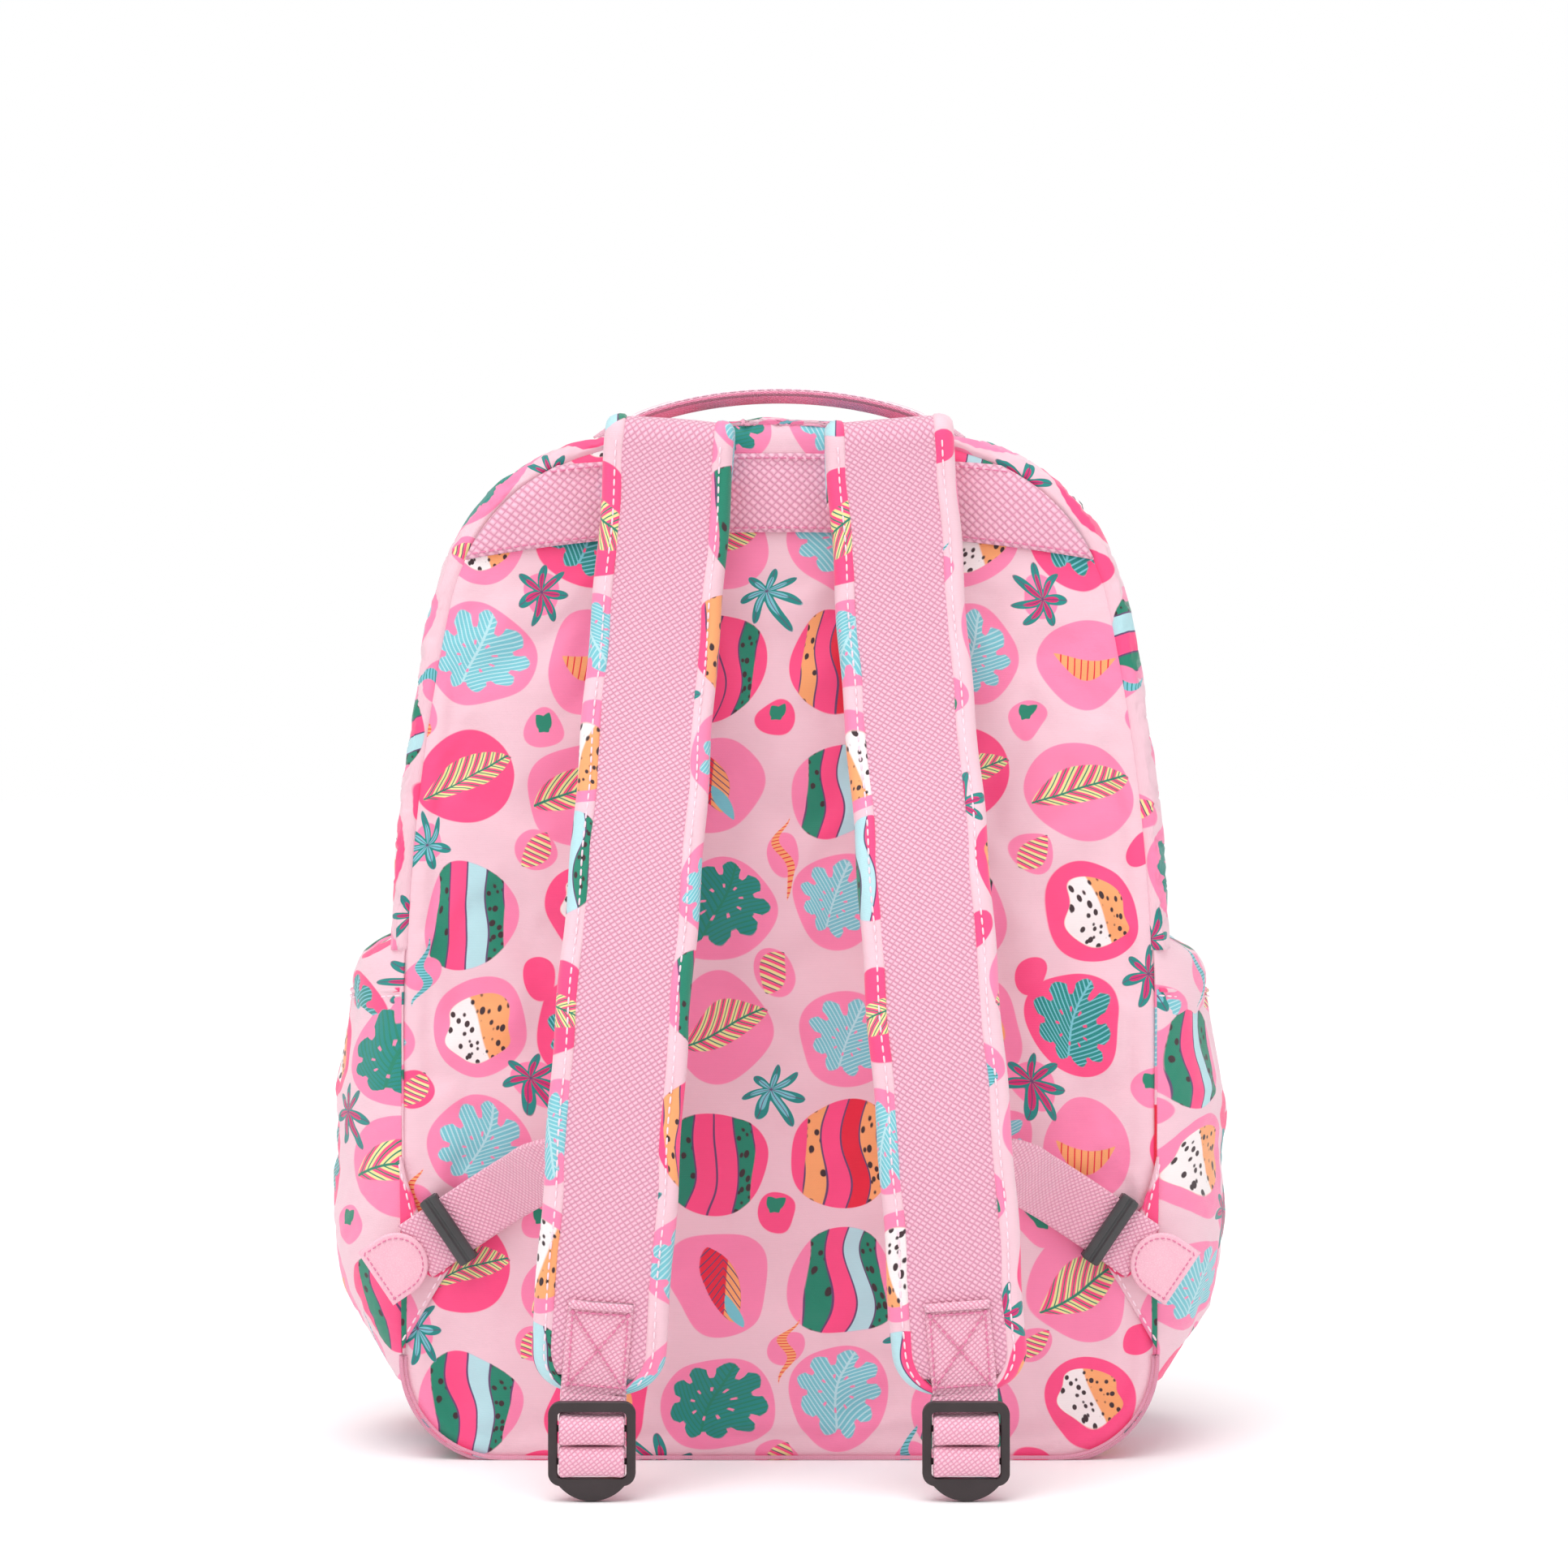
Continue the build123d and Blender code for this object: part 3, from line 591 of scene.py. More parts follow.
def bar_faces(rows, columns):
    """Faces of a closed bar of cross-sections, with its two ends."""
    last = (rows - 1) * columns
    ends = [tuple(range(columns))[::-1], tuple(range(last, last + columns))]
    return grid_faces(rows, columns, closed=True) + ends


def add_bar(verts, faces, points, columns):
    """Add a closed bar to a mesh in the making. points lists its cross-sections, columns points in each."""
    base = len(verts)
    verts.extend(points)
    for face in bar_faces(len(points) // columns, columns):
        faces.append(tuple(base + k for k in face))


def apply_modifiers(piece):
    """Turn the piece's modifiers into its mesh."""
    graph = bpy.context.evaluated_depsgraph_get()
    mesh = bpy.data.meshes.new_from_object(piece.evaluated_get(graph))
    piece.modifiers.clear()
    piece.data = mesh
    return piece


def thicken(piece, thickness, offset=-1.0, inner_material=0):
    """Give a sheet its thickness in millimetres. inner_material counts on from the sheet's own."""
    solid = piece.modifiers.new("thickness", "SOLIDIFY")
    solid.thickness = thickness * MM
    solid.offset = offset
    solid.material_offset = inner_material
    return apply_modifiers(piece)


def refine(piece):
    """Subdivide once and smooth."""
    smooth = piece.modifiers.new("smooth", "SUBSURF")
    smooth.levels = smooth.render_levels = 1
    smooth.boundary_smooth = "PRESERVE_CORNERS"
    return apply_modifiers(piece)


def points_of(piece):
    """The mesh's vertices in millimetres."""
    co = np.zeros(len(piece.data.vertices) * 3)
    piece.data.vertices.foreach_get("co", co)
    return co.reshape(-1, 3) / MM


def move_points(piece, points):
    piece.data.vertices.foreach_set("co", (points * MM).ravel())
    piece.data.update()


def drape(piece, held, pressure, reach, shrink=-0.03, frames=20):
    """Settle a sheet as cloth. held is each vertex's grip, from 0 to 1, and reach caps how far one moves.

    Every vertex keeps at most reach times (1 - grip) of its travel, in millimetres.
    """
    start = points_of(piece)
    group = piece.vertex_groups.new(name="held")
    for index, grip in enumerate(held):
        group.add([index], float(grip), "REPLACE")
    cloth = piece.modifiers.new("cloth", "CLOTH")
    settings = cloth.settings
    settings.quality = 6
    settings.mass = 0.25
    settings.tension_stiffness = settings.compression_stiffness = 18
    settings.shear_stiffness = 8
    settings.bending_stiffness = 0.6
    settings.air_damping = 2.0
    settings.use_pressure = True
    settings.uniform_pressure_force = pressure
    settings.shrink_min = shrink
    settings.vertex_group_mass = "held"
    settings.effector_weights.gravity = 0.0
    cloth.collision_settings.use_self_collision = False
    cloth.point_cache.frame_start = 1
    cloth.point_cache.frame_end = frames
    scene = bpy.context.scene
    for frame_number in range(1, frames + 1):
        scene.frame_set(frame_number)
    apply_modifiers(piece)
    scene.frame_set(1)
    travel = points_of(piece) - start
    length = np.linalg.norm(travel, axis=1, keepdims=True)
    limit = reach * (1 - np.array(held)).reshape(-1, 1)
    travel *= np.minimum(1.0, limit / np.maximum(length, 1e-9))
    travel[~np.isfinite(travel).all(axis=1)] = 0.0
    move_points(piece, start + travel)
    return piece


def join(pieces, name):
    """Join several mesh objects into one."""
    keep = pieces[0]
    if len(pieces) > 1:
        with bpy.context.temp_override(active_object=keep, selected_editable_objects=pieces):
            bpy.ops.object.join()
    keep.name = name
    keep.data.name = name
    return keep


def unit(vectors):
    vectors = np.asarray(vectors, float)
    return vectors / np.maximum(np.linalg.norm(vectors, axis=-1, keepdims=True), 1e-9)


def tube(name, path, radii, material, sides=8, closed=False, flat=1.0, facing=(0, 1, 0), uv_start=(0, 0)):
    """Round or oval bar along a path. flat scales its thickness along facing."""
    path = np.array(path, float)
    count = len(path)
    ahead = unit(np.roll(path, -1, 0) - np.roll(path, 1, 0)) if closed else unit(np.gradient(path, axis=0))
    side = unit(np.cross(ahead, np.array(facing, float)))
    over = unit(np.cross(side, ahead))
    radii = np.broadcast_to(radii, (count,))
    verts, uvs, far = [], [], 0.0
    for k in range(count):
        if k:
            far += np.linalg.norm(path[k] - path[k - 1])
        for j in range(sides):
            turn = 2 * pi * j / sides
            verts.append(path[k] + radii[k] * (cos(turn) * side[k] + flat * sin(turn) * over[k]))
            uvs.append((uv_start[0] + radii[k] * turn, uv_start[1] + far))
    if closed:
        last = (count - 1) * sides
        faces = grid_faces(count, sides, closed=True)
        faces += [(last + j, last + (j + 1) % sides, (j + 1) % sides, j) for j in range(sides)]
    else:
        faces = bar_faces(count, sides)
    return make_piece(name, verts, faces, uvs, material)


def run_along(points):
    """Distance along a polyline at each of its points."""
    return np.concatenate([[0], np.cumsum(np.linalg.norm(np.diff(points, axis=0), axis=1))])


def resample(path, count):
    """Points evenly spaced along a polyline of any dimension."""
    path = np.array(path, float)
    length = run_along(path)
    at = np.linspace(0, length[-1], count)
    return np.stack([np.interp(at, length, column) for column in path.T], axis=1)


STITCH = ((-0.5, 0.35, -0.5), (-0.34, 0.9, 0.6), (0.0, 1.0, 1.0), (0.34, 0.9, 0.6), (0.5, 0.35, -0.5))
STITCH_SIDES = 6          # STITCH lists place along the stitch, thickness and rise, as shares


def stitches(name, path, normal, material=THREAD, length=3.0, gap=1.1, thick=0.42, rise=0.18):
    """Running stitches along a path on a surface whose outward direction is normal."""
    path = np.array(path, float)
    points = resample(path, max(2, int(round(run_along(path)[-1] / (length + gap))) + 1))
    ahead = unit(np.gradient(points, axis=0))
    normal = np.atleast_2d(np.array(normal, float))
    nearest = np.round(np.linspace(0, len(normal) - 1, len(points))).astype(int)
    verts, faces = [], []
    for point, along, up in zip(points, ahead, unit(normal[nearest])):
        side = unit(np.cross(along, up))
        rings = []
        for share, size, lift in STITCH:
            centre = point + along * share * length + up * (rise * lift)
            for turn in 2 * pi * np.arange(STITCH_SIDES) / STITCH_SIDES:
                rings.append(centre + thick * size * (cos(turn) * side + sin(turn) * up))
        add_bar(verts, faces, rings, STITCH_SIDES)
    return make_piece(name, verts, faces, material=material)


def place(piece, body, slot, *nodes):
    """Common last step: body and the CAD nodes that the piece stands for. slot, the material slot, is not
    used.
    """
    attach(piece, body)
    if nodes:
        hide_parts(*nodes)
    return piece


# ---------------------------------------------------------------- outline of the body
def toward(centre, distance, turn):
    """Front-view point at a distance from centre, turn degrees clockwise from up."""
    return (centre[0] + distance * sin(radians(turn)), centre[1] + distance * cos(radians(turn)))


CROWN_C = (0.0, HEIGHT - CROWN_R)
SHOULDER_C = toward(CROWN_C, CROWN_R - SHOULDER_R, CROWN_TURN)
FLANK_C = toward(SHOULDER_C, SHOULDER_R - FLANK_R, SHOULDER_TURN)


def half_outline():
    """Right half from the middle of the base to the crown: x, z and outward direction."""
    rows = [(x, 0.0, 0.0, -1.0) for x in np.linspace(0, HALF_W - FOOT_R, 60)]

    def arc(centre, radius, first, last, count):
        for turn in np.linspace(first, last, count):
            x, z = toward(centre, radius, turn)
            rows.append((x, z, sin(radians(turn)), cos(radians(turn))))

    arc((HALF_W - FOOT_R, FOOT_R), FOOT_R, 180, 90, 40)
    rows.extend((HALF_W, z, 1.0, 0.0) for z in np.linspace(FOOT_R, FLANK_C[1], 60))
    arc(FLANK_C, FLANK_R, 90, SHOULDER_TURN, 80)
    arc(SHOULDER_C, SHOULDER_R, SHOULDER_TURN, CROWN_TURN, 50)
    arc(CROWN_C, CROWN_R, CROWN_TURN, 0, 50)
    return np.array(rows)


def whole_outline():
    """Closed outline from the middle of the base, up the right side and down the left."""
    right = half_outline()
    left = right[::-1] * (-1, 1, -1, 1)
    rows = np.concatenate([right, left[1:-1]])
    steps = np.linalg.norm(np.diff(rows[:, :2], axis=0), axis=1)
    rows = rows[np.concatenate([[True], steps > 1e-6])]
    return rows, run_along(rows[:, :2])


OUTLINE, OUTLINE_AT = whole_outline()
AROUND = OUTLINE_AT[-1] + np.linalg.norm(OUTLINE[-1, :2] - OUTLINE[0, :2])
SEAM_AT = float(np.interp(SEAM_Z, half_outline()[:, 1], run_along(half_outline()[:, :2])))


def around(at):
    """x, z, outward x and outward z at distances along the outline."""
    at = np.asarray(at, float)
    rows = np.vstack([OUTLINE, OUTLINE[:1]])
    length = np.append(OUTLINE_AT, AROUND)
    found = np.stack([np.interp(at, length, rows[:, k]) for k in range(4)], axis=-1)
    found[..., 2:] = unit(found[..., 2:])
    return found


def coons(bottom, right, top, left):
    """Grid between four edges. bottom and top run to the right, left and right run upward."""
    columns, rows = len(bottom), len(left)
    u = np.linspace(0, 1, columns)[None, :, None]
    v = np.linspace(0, 1, rows)[:, None, None]
    sides = (1 - v) * bottom[None] + v * top[None] + (1 - u) * left[:, None] + u * right[:, None]
    corner = ((1 - u) * (1 - v) * bottom[0] + u * (1 - v) * bottom[-1]
              + (1 - u) * v * top[0] + u * v * top[-1])
    return sides - corner


def panel_grid(columns, rows, low_at, high_at):
    """Front-view grid over the outline, with its corners at two distances up each side."""
    bottom = around(np.linspace(-low_at, low_at, columns) % AROUND)[:, :2]
    right = around(np.linspace(low_at, high_at, rows))[:, :2]
    top = around(np.linspace(AROUND - high_at, high_at, columns))[:, :2]
    left = right * (-1, 1)
    return coons(bottom, right, top, left)


def edge_distance(points):
    """How far front-view points lie inside the outline, roughly."""
    x, z = np.abs(points[..., 0]), points[..., 1]
    crown = CROWN_R - np.hypot(x, z - CROWN_C[1])
    shoulder = SHOULDER_R - np.hypot(x - SHOULDER_C[0], z - SHOULDER_C[1])
    flank = FLANK_R - np.hypot(x - FLANK_C[0], z - FLANK_C[1])
    turn = np.degrees(np.arctan2(x - SHOULDER_C[0], z - SHOULDER_C[1]))
    upper = np.where(turn < CROWN_TURN, crown, np.where(turn < SHOULDER_TURN, shoulder, flank))
    upper = np.where((x < SHOULDER_C[0]) & (z < SHOULDER_C[1]), np.minimum(crown, flank), upper)
    foot = FOOT_R - np.hypot(x - HALF_W + FOOT_R, z - FOOT_R)
    low = np.where((x > HALF_W - FOOT_R) & (z < FOOT_R), foot, np.minimum(HALF_W - x, z))
    return np.maximum(0.0, np.where(z < FLANK_C[1], low, np.minimum(upper, z)))


# ---------------------------------------------------------------- body of the bag
MID_Y = (REAR_GUSSET[0].y + FRONT_GUSSET[1].y) / 2
GUSSET_HALF = (FRONT_GUSSET[1].y - REAR_GUSSET[0].y) / 2
WALL_T = 1.6              # fabric that shows, with its backing


def ease(value):
    value = np.clip(value, 0.0, 1.0)
    return value * value * (3 - 2 * value)


def ripple(a, b, seed, size=1.0):
    """Smooth irregular wave over two coordinates in millimetres."""
    draw = random.Random(seed)
    total = 0.0
    for _ in range(7):
        wave, turn, phase = draw.uniform(28, 95), draw.uniform(0, 2 * pi), draw.uniform(0, 2 * pi)
        total = total + np.sin((a * cos(turn) + b * sin(turn)) * 2 * pi / wave + phase) * wave / 95
    return total * size / 3.2


def back_y(x, z):
    """Face of the padded back panel: rolled at the seam and lightly crowned."""
    inside = edge_distance(np.stack([x, z], axis=-1))
    return BACK_Y + 3.2 - 2.6 * ease(inside / 7.0) ** 0.5 - 2.0 * ease(inside / 60.0)


def lined(piece, thickness=WALL_T):
    """Thicken a sheet inward, with lining on its inner face."""
    piece.data.materials.append(LINING)
    return thicken(piece, thickness, inner_material=1)


def press_back(points):
    """Keep the back panel behind the keepers, over the whole way that they slide."""
    lean, rear = radians(KEEPER_LEAN), corners("keeper_left")[1].y
    for side in (-1, 1):
        centre = keeper_centre(side)
        inward, up = abs(centre.x) - side * points[:, 0], points[:, 2] - centre.z
        along = np.abs(inward * cos(lean) + up * sin(lean) - KEEPER_SLIDE / 2) - KEEPER_SLIDE / 2
        across = np.abs(up * cos(lean) - inward * sin(lean))
        outside = np.hypot(np.maximum(along - 6.0, 0.0), np.maximum(across - 18.0, 0.0))
        points[:, 1] = np.maximum(points[:, 1], rear - 0.4 - 8.0 * ease(outside / 50.0))
    return points


def laid_out(columns, rows):
    """Front-view points of a whole panel: x, z and how far inside the outline they are."""
    flat = panel_grid(columns, rows, 135.0, AROUND / 2 - 118.0).reshape(-1, 2)
    return flat[:, 0], flat[:, 1], edge_distance(flat)


def make_back_panel():
    columns, rows = 77, 101
    x, z, inside = laid_out(columns, rows)
    y = back_y(x, z) + ripple(x, z, 3, 0.8) * ease(inside / 25.0)
    piece = make_piece("back_panel_cloth", np.stack([x, y, z], axis=1), grid_faces(rows, columns))
    held = 1.0 - 0.9 * ease((inside - 1.0) / 12.0)
    held[z > 372.0] = 1.0
    drape(piece, held, 1.2, 2.4)
    move_points(piece, press_back(points_of(piece)))
    lined(refine(piece))
    place(piece, "root", "printed_fabric", "back_panel", "back_foam")


def strip_around(name, from_at, to_at, profile, count, wave=0.0, seed=1, material=PRINT, shift=0.0, dip=0.0):
    """Sheet along the outline. profile lists y and outward from back to front. dip is lost at the crown."""
    at = np.linspace(from_at, to_at, count)
    rows = around(at % AROUND)
    verts, uvs = [], []
    profile = np.array(profile, float)
    run = run_along(profile)
    middle = ease(np.minimum(run, run[-1] - run) / max(run[-1] * 0.3, 1.0))
    for (x, z, nx, nz), s in zip(rows, at):
        rise = ripple(np.full(len(profile), s), profile[:, 0], seed, wave) * middle
        crown = dip * np.exp(-(((s - AROUND / 2) / 82.0) ** 4))
        for (y, out), extra, far in zip(profile, rise, run):
            reach = out + extra - max(out, 0) * crown
            verts.append((x + nx * reach, y, z + nz * reach))
            uvs.append((s + shift, far))
    faces = grid_faces(count, len(profile))
    return make_piece(name, verts, faces, uvs, material)


def curve_through(points, count):
    """Smooth line through points of any dimension, evenly sampled in its own parameter."""
    points = np.array(points, float)
    full = np.vstack([2 * points[0] - points[1], points, 2 * points[-1] - points[-2]])
    found = []
    for t in np.linspace(0, len(points) - 1 - 1e-9, count):
        k = int(t)
        s = t - k
        a, b, c, d = full[k:k + 4]
        found.append(0.5 * (2 * b + (c - a) * s + (2 * a - 5 * b + 4 * c - d) * s ** 2
                            + (3 * b - a - 3 * c + d) * s ** 3))
    return np.array(found)


def make_gussets():
    y0, y1 = REAR_GUSSET[0].y, REAR_GUSSET[1].y
    rear = curve_through([(y0 + 0.6, -1.4), (y0 - 0.2, 1.0), (y0 + 1.0, 4.0), (y0 + 6, 6.4), (y0 + 18, 7.4),
                          (y0 + 36, 6.4), (y1 - 10, 3.0), (y1 - 2, 1.4), (y1, 1.2)], 30)
    first, last, count = SEAM_AT - 4, AROUND - SEAM_AT + 4, 320
    piece = strip_around("top_gusset_rear_cloth", first, last, rear, count, 0.9, 5, dip=0.9)
    share = np.linspace(0, 1, len(rear))
    inner = ease(share * 6 - 0.5) * ease((1 - share) * 6 - 0.5)
    drape(piece, 1 - 0.85 * np.tile(inner, count), 1.0, 2.2, frames=16)
    lined(piece)
    place(piece, "root", "printed_fabric", "top_gusset_rear")

    y0, y1 = FRONT_GUSSET[0].y, FRONT_GUSSET[1].y
    front = curve_through([(y0, 1.2), (y0 + 2, 1.4), (y0 + 8, 3.0), (y0 + 22, 5.2), (y0 + 36, 4.8),
                           (y1 - 2, 2.6), (y1 + 0.6, 0.6), (y1 + 0.2, -1.2)], 26)
    piece = strip_around("top_gusset_front_cloth", first, last, front, count, 0.9, 6, shift=40.0, dip=0.7)
    lined(piece)
    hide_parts("top_gusset_front")
    cross_fold(piece)


def cross_fold(piece):
    """Bake the fabric's transform into its mesh."""
    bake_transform(piece)


def make_zip():
    """Tapes, coils of separate teeth, and the sewn edges beside them."""
    first, last = SEAM_AT + 4.0, AROUND - SEAM_AT - 4.0
    for side, name in ((-1, "rear"), (1, "front")):
        tape = [(ZIP_Y + side * 12.5, 0.4), (ZIP_Y + side * 9.0, 0.3), (ZIP_Y + side * 5.0, 0.0),
                (ZIP_Y + side * 1.6, -0.4), (ZIP_Y + side * 1.2, -0.6)]
        if side > 0:
            tape = tape[::-1]
        piece = strip_around(f"zip_tape_{name}_cloth", first, last, tape, 300, material=TAPE)
        thicken(piece, 0.7)
        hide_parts(f"zip_tape_{name}")
        teeth = zip_teeth(f"zip_teeth_{name}", first, last, side)
        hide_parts(f"zip_coil_{name}")
        edge_y = ZIP_Y + side * 12.6
        lip = strip_around(f"zip_lip_{name}", first, last, lip_profile(edge_y, side), 300, material=PRINT)
        seam = outline_stitches(f"zip_stitches_{name}", first, last, ZIP_Y + side * 15.2, 2.9)
        for part in (piece, teeth, lip, seam):
            if side < 0:
                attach(part, "root")
            else:
                cross_fold(part)


def lip_profile(y, side):
    """Closed roll of folded cloth beside the tape, seen along the seam."""
    turns = np.linspace(0, 2 * pi, 15)
    return [(y + side * (2.2 + 3.4 * -cos(t)), 1.5 + 1.0 * -side * sin(t)) for t in turns]


def outline_stitches(name, first, last, y, out, material=THREAD):
    rows = around(np.linspace(first, last, 400) % AROUND)
    path = [(x + nx * out, y, z + nz * out) for x, z, nx, nz in rows]
    normal = np.array([(nx, 0, nz) for _, _, nx, nz in rows])
    return stitches(name, path, normal, material)


def zip_teeth(name, first, last, side):
    """Coil: one rounded tooth each 1.5 mm, every other one reaching over the middle."""
    pitch = 1.5
    verts, faces = [], []
    count = int((last - first) / pitch)
    at = first + (np.arange(count) + (0.5 if side > 0 else 0.0)) * pitch
    shape = [(-0.5, -0.9), (-0.5, 0.9), (0.5, 0.9), (0.5, -0.9)]
    for x, z, nx, nz in around(at % AROUND):
        rings = []
        for y, size in ((0.1, 0.55), (0.5, 1.0), (2.4, 1.0), (3.0, 0.7)):
            for run, rise in shape:
                out, step = rise * size * 0.9 + 0.2, run * size * 0.95
                rings.append((x + nx * out - nz * step, ZIP_Y + side * y, z + nz * out + nx * step))
        add_bar(verts, faces, rings, len(shape))
    return make_piece(name, verts, faces, material=COIL)


def front_y(x, z):
    inside = edge_distance(np.stack([x, z], axis=-1))
    return FRONT_Y - 2.6 + 2.4 * ease(inside / 7.0) ** 0.5 + 2.4 * ease(inside / 80.0)


def make_front_panel():
    columns, rows = 61, 101
    x, z, inside = laid_out(columns, rows)
    y = front_y(x, z) + ripple(x, z, 9, 1.0) * ease(inside / 30.0)
    piece = make_piece("front_panel_cloth", np.stack([x, y, z], axis=1), turned(grid_faces(rows, columns)),
                       np.stack([90.0 - x, z], axis=1))
    drape(piece, 1.0 - 0.9 * ease((inside - 1.0) / 14.0), 1.0, 2.5)
    lined(piece)
    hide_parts("front_panel_lower", "front_panel_upper")
    cross_fold(piece)


def side_x(z):
    """Half width of the outline at a height on the flank or foot."""
    z = np.asarray(z, float)
    flank = FLANK_C[0] + np.sqrt(FLANK_R ** 2 - np.maximum(z - FLANK_C[1], 0) ** 2)
    foot = HALF_W - FOOT_R + np.sqrt(np.maximum(FOOT_R ** 2 - np.maximum(FOOT_R - z, 0) ** 2, 0))
    return np.where(z < FOOT_R, foot, flank)


def swell(y, power=2.6):
    """Share of the bulge at a depth, 0 at the seams and 1 in the middle."""
    share = np.clip(np.abs((y - MID_Y) / GUSSET_HALF), 0, 1)
    return np.maximum(1 - share ** power, 0) ** 0.8


def make_side_panels():
    z_keys = [FOOT_R - 6, 70, 120, 165, 190, 203, 211, 217, 221.5, 224]
    bulge = [2.0, 7.0, 10.0, 15.5, 24.8, 26.2, 23.0, 14.0, 4.5, 1.5]
    rows, columns = np.concatenate([np.linspace(z_keys[0], 180, 30), np.linspace(183, SEAM_Z + 4, 26)]), 41
    depth = MID_Y - GUSSET_HALF * np.cos(np.linspace(0, pi, columns))
    smooth = curve_through(np.stack([z_keys, bulge], axis=1), 200)
    for side, name in ((-1, "left"), (1, "right")):
        verts, uvs = [], []
        for z in rows:
            out = np.interp(z, smooth[:, 0], smooth[:, 1])
            wave = ripple(depth, np.full(columns, z), 12 + side, 1.4)
            for x, y in zip(side_x(z) + out * swell(depth, 3.4) + wave * swell(depth), depth):
                verts.append((side * x, y, z))
                uvs.append((y * side + 300.0, z))
        faces = turned(grid_faces(len(rows), columns), side < 0)
        piece = make_piece(f"side_panel_{name}_cloth", verts, faces, uvs)
        drape(piece, 1.0 - 0.8 * np.tile(swell(depth), len(rows)), 1.0, 2.5, frames=14)
        lined(refine(piece))
        place(piece, "root", "printed_fabric", f"side_panel_{name}")


def pocket_reach(z):
    """How far the side pocket stands out of the flank."""
    line = curve_through([(24, 2.0), (34, 8.5), (48, 20.0), (66, 29.0), (90, 33.0), (125, 34.0), (160, 32.0),
                          (184, 28.0), (196.5, 26.4)], 200)
    return np.interp(z, line[:, 0], line[:, 1])


def make_side_pockets():
    z_low, z_high = POCKET[0].z, POCKET[1].z
    rows = np.concatenate([np.linspace(z_low, 60, 14), np.linspace(64, 170, 28),
                           np.linspace(173, z_high + 0.6, 20)])
    columns = 57
    depth = MID_Y - GUSSET_HALF * np.cos(np.linspace(0, pi, columns))
    for side, name in ((-1, "left"), (1, "right")):
        verts, uvs = [], []
        for z in rows:
            gather = ease((z - 150) / 42.0)
            x = side_x(z) + 0.6 + pocket_reach(z) * swell(depth)
            x = x + ripple(depth, np.full(columns, z), 20 + side, 2.0) * swell(depth) * (1 - 0.6 * gather)
            pleat = np.sin((depth + 3 * side) * 2 * pi / 15.0 + 0.8 * np.sin(depth * 0.11))
            x = x + pleat * gather * 0.9 * swell(depth)
            drop = 3.0 * gather * (swell(depth) - 0.6)
            for px, py, lower in zip(x, depth, drop):
                verts.append((side * px, py, z - lower))
                uvs.append((py * side + 120.0, z + 60.0))
        faces = turned(grid_faces(len(rows), columns), side < 0)
        piece = make_piece(f"side_pocket_{name}_cloth", verts, faces, uvs)
        free = np.tile(swell(depth), len(rows)) * np.repeat(1 - ease((rows - 150) / 40), columns)
        drape(piece, 1.0 - 0.8 * free, 1.4, 3.0, frames=16)
        rim = points_of(piece).reshape(len(rows), columns, 3)
        lined(refine(piece), 1.8)
        place(piece, "root", "printed_fabric", f"side_pocket_{name}")
        make_pocket_hem(rim, rows, side, name)


def make_pocket_hem(rim, rows, side, name):
    """Rolled edge of the pocket's mouth, the elastic inside it and a row of stitches."""
    top = rim[-1, 2:-2]
    roll = tube(f"pocket_roll_{name}", top, 0.95, PRINT, 8, facing=(1, 0, 0), uv_start=(110, 0))
    place(roll, "root", "printed_fabric")
    fan = (top[:, 1] - MID_Y) / GUSSET_HALF * 0.8
    outward = unit(np.stack([np.full(len(top), float(side)), fan, np.zeros(len(top))], axis=1))
    k = int(np.argmin(np.abs(rows - (rows[-1] - 2.6))))
    line = rim[k, 3:-3] + outward[1:-1] * 0.25
    place(stitches(f"pocket_stitches_{name}", line, outward[1:-1]), "root", "printed_fabric")
    inner = rim[-3, 3:-3] - outward[1:-1] * 3.0
    band = [(x, y, rows[-1] - under) for under in (10.5, 1.5) for x, y, _ in inner]
    elastic = make_piece(f"pocket_elastic_{name}_band", band, grid_faces(2, len(inner)),
                         [(y, z) for _, y, z in band], ELASTIC)
    thicken(elastic, 1.0, 0.0)
    place(elastic, "root", "elastic", f"pocket_elastic_{name}")


def make_bottom_panel():
    y0, y1 = REAR_GUSSET[0].y, FRONT_GUSSET[1].y
    line = curve_through([(y0 + 0.2, -0.7), (y0 + 0.6, -0.25), (y0 + 4, -0.15), (MID_Y, -0.15),
                          (y1 - 4, -0.15), (y1 - 0.6, -0.25), (y1 - 0.2, -0.7)], 40)
    x, z = OUTLINE[:200, :2].T
    reach = OUTLINE_AT[np.argmin(np.abs(z - (FOOT_R + 2)) + (x < 100) * 999)]   # a little up the flank
    piece = lined(strip_around("bottom_panel_cloth", -reach, reach, line, 160))
    points = points_of(piece)
    points[:, 2] = np.maximum(points[:, 2], 0.1)         # clear of the floor
    move_points(piece, points)
    place(piece, "root", "printed_fabric", "bottom_panel")


# ---------------------------------------------------------------- shoulder straps
STRAP_X, STRAP_Y, STRAP_Z = 45.7, -73.0, 428.0   # centre of the top fold
STRAP_SPLAY = 4.1         # degrees that each strap leans outward
FOLD_R = 6.5
UPPER_R, UPPER_TURN = 390.6, 22.0
LOWER_R, LOWER_TURN = 511.6, 27.5
STRAP_HALF, STRAP_CORNER = 27.0, 17.0
ROOT_RUN = 26.0           # sewn end that hangs behind the fold


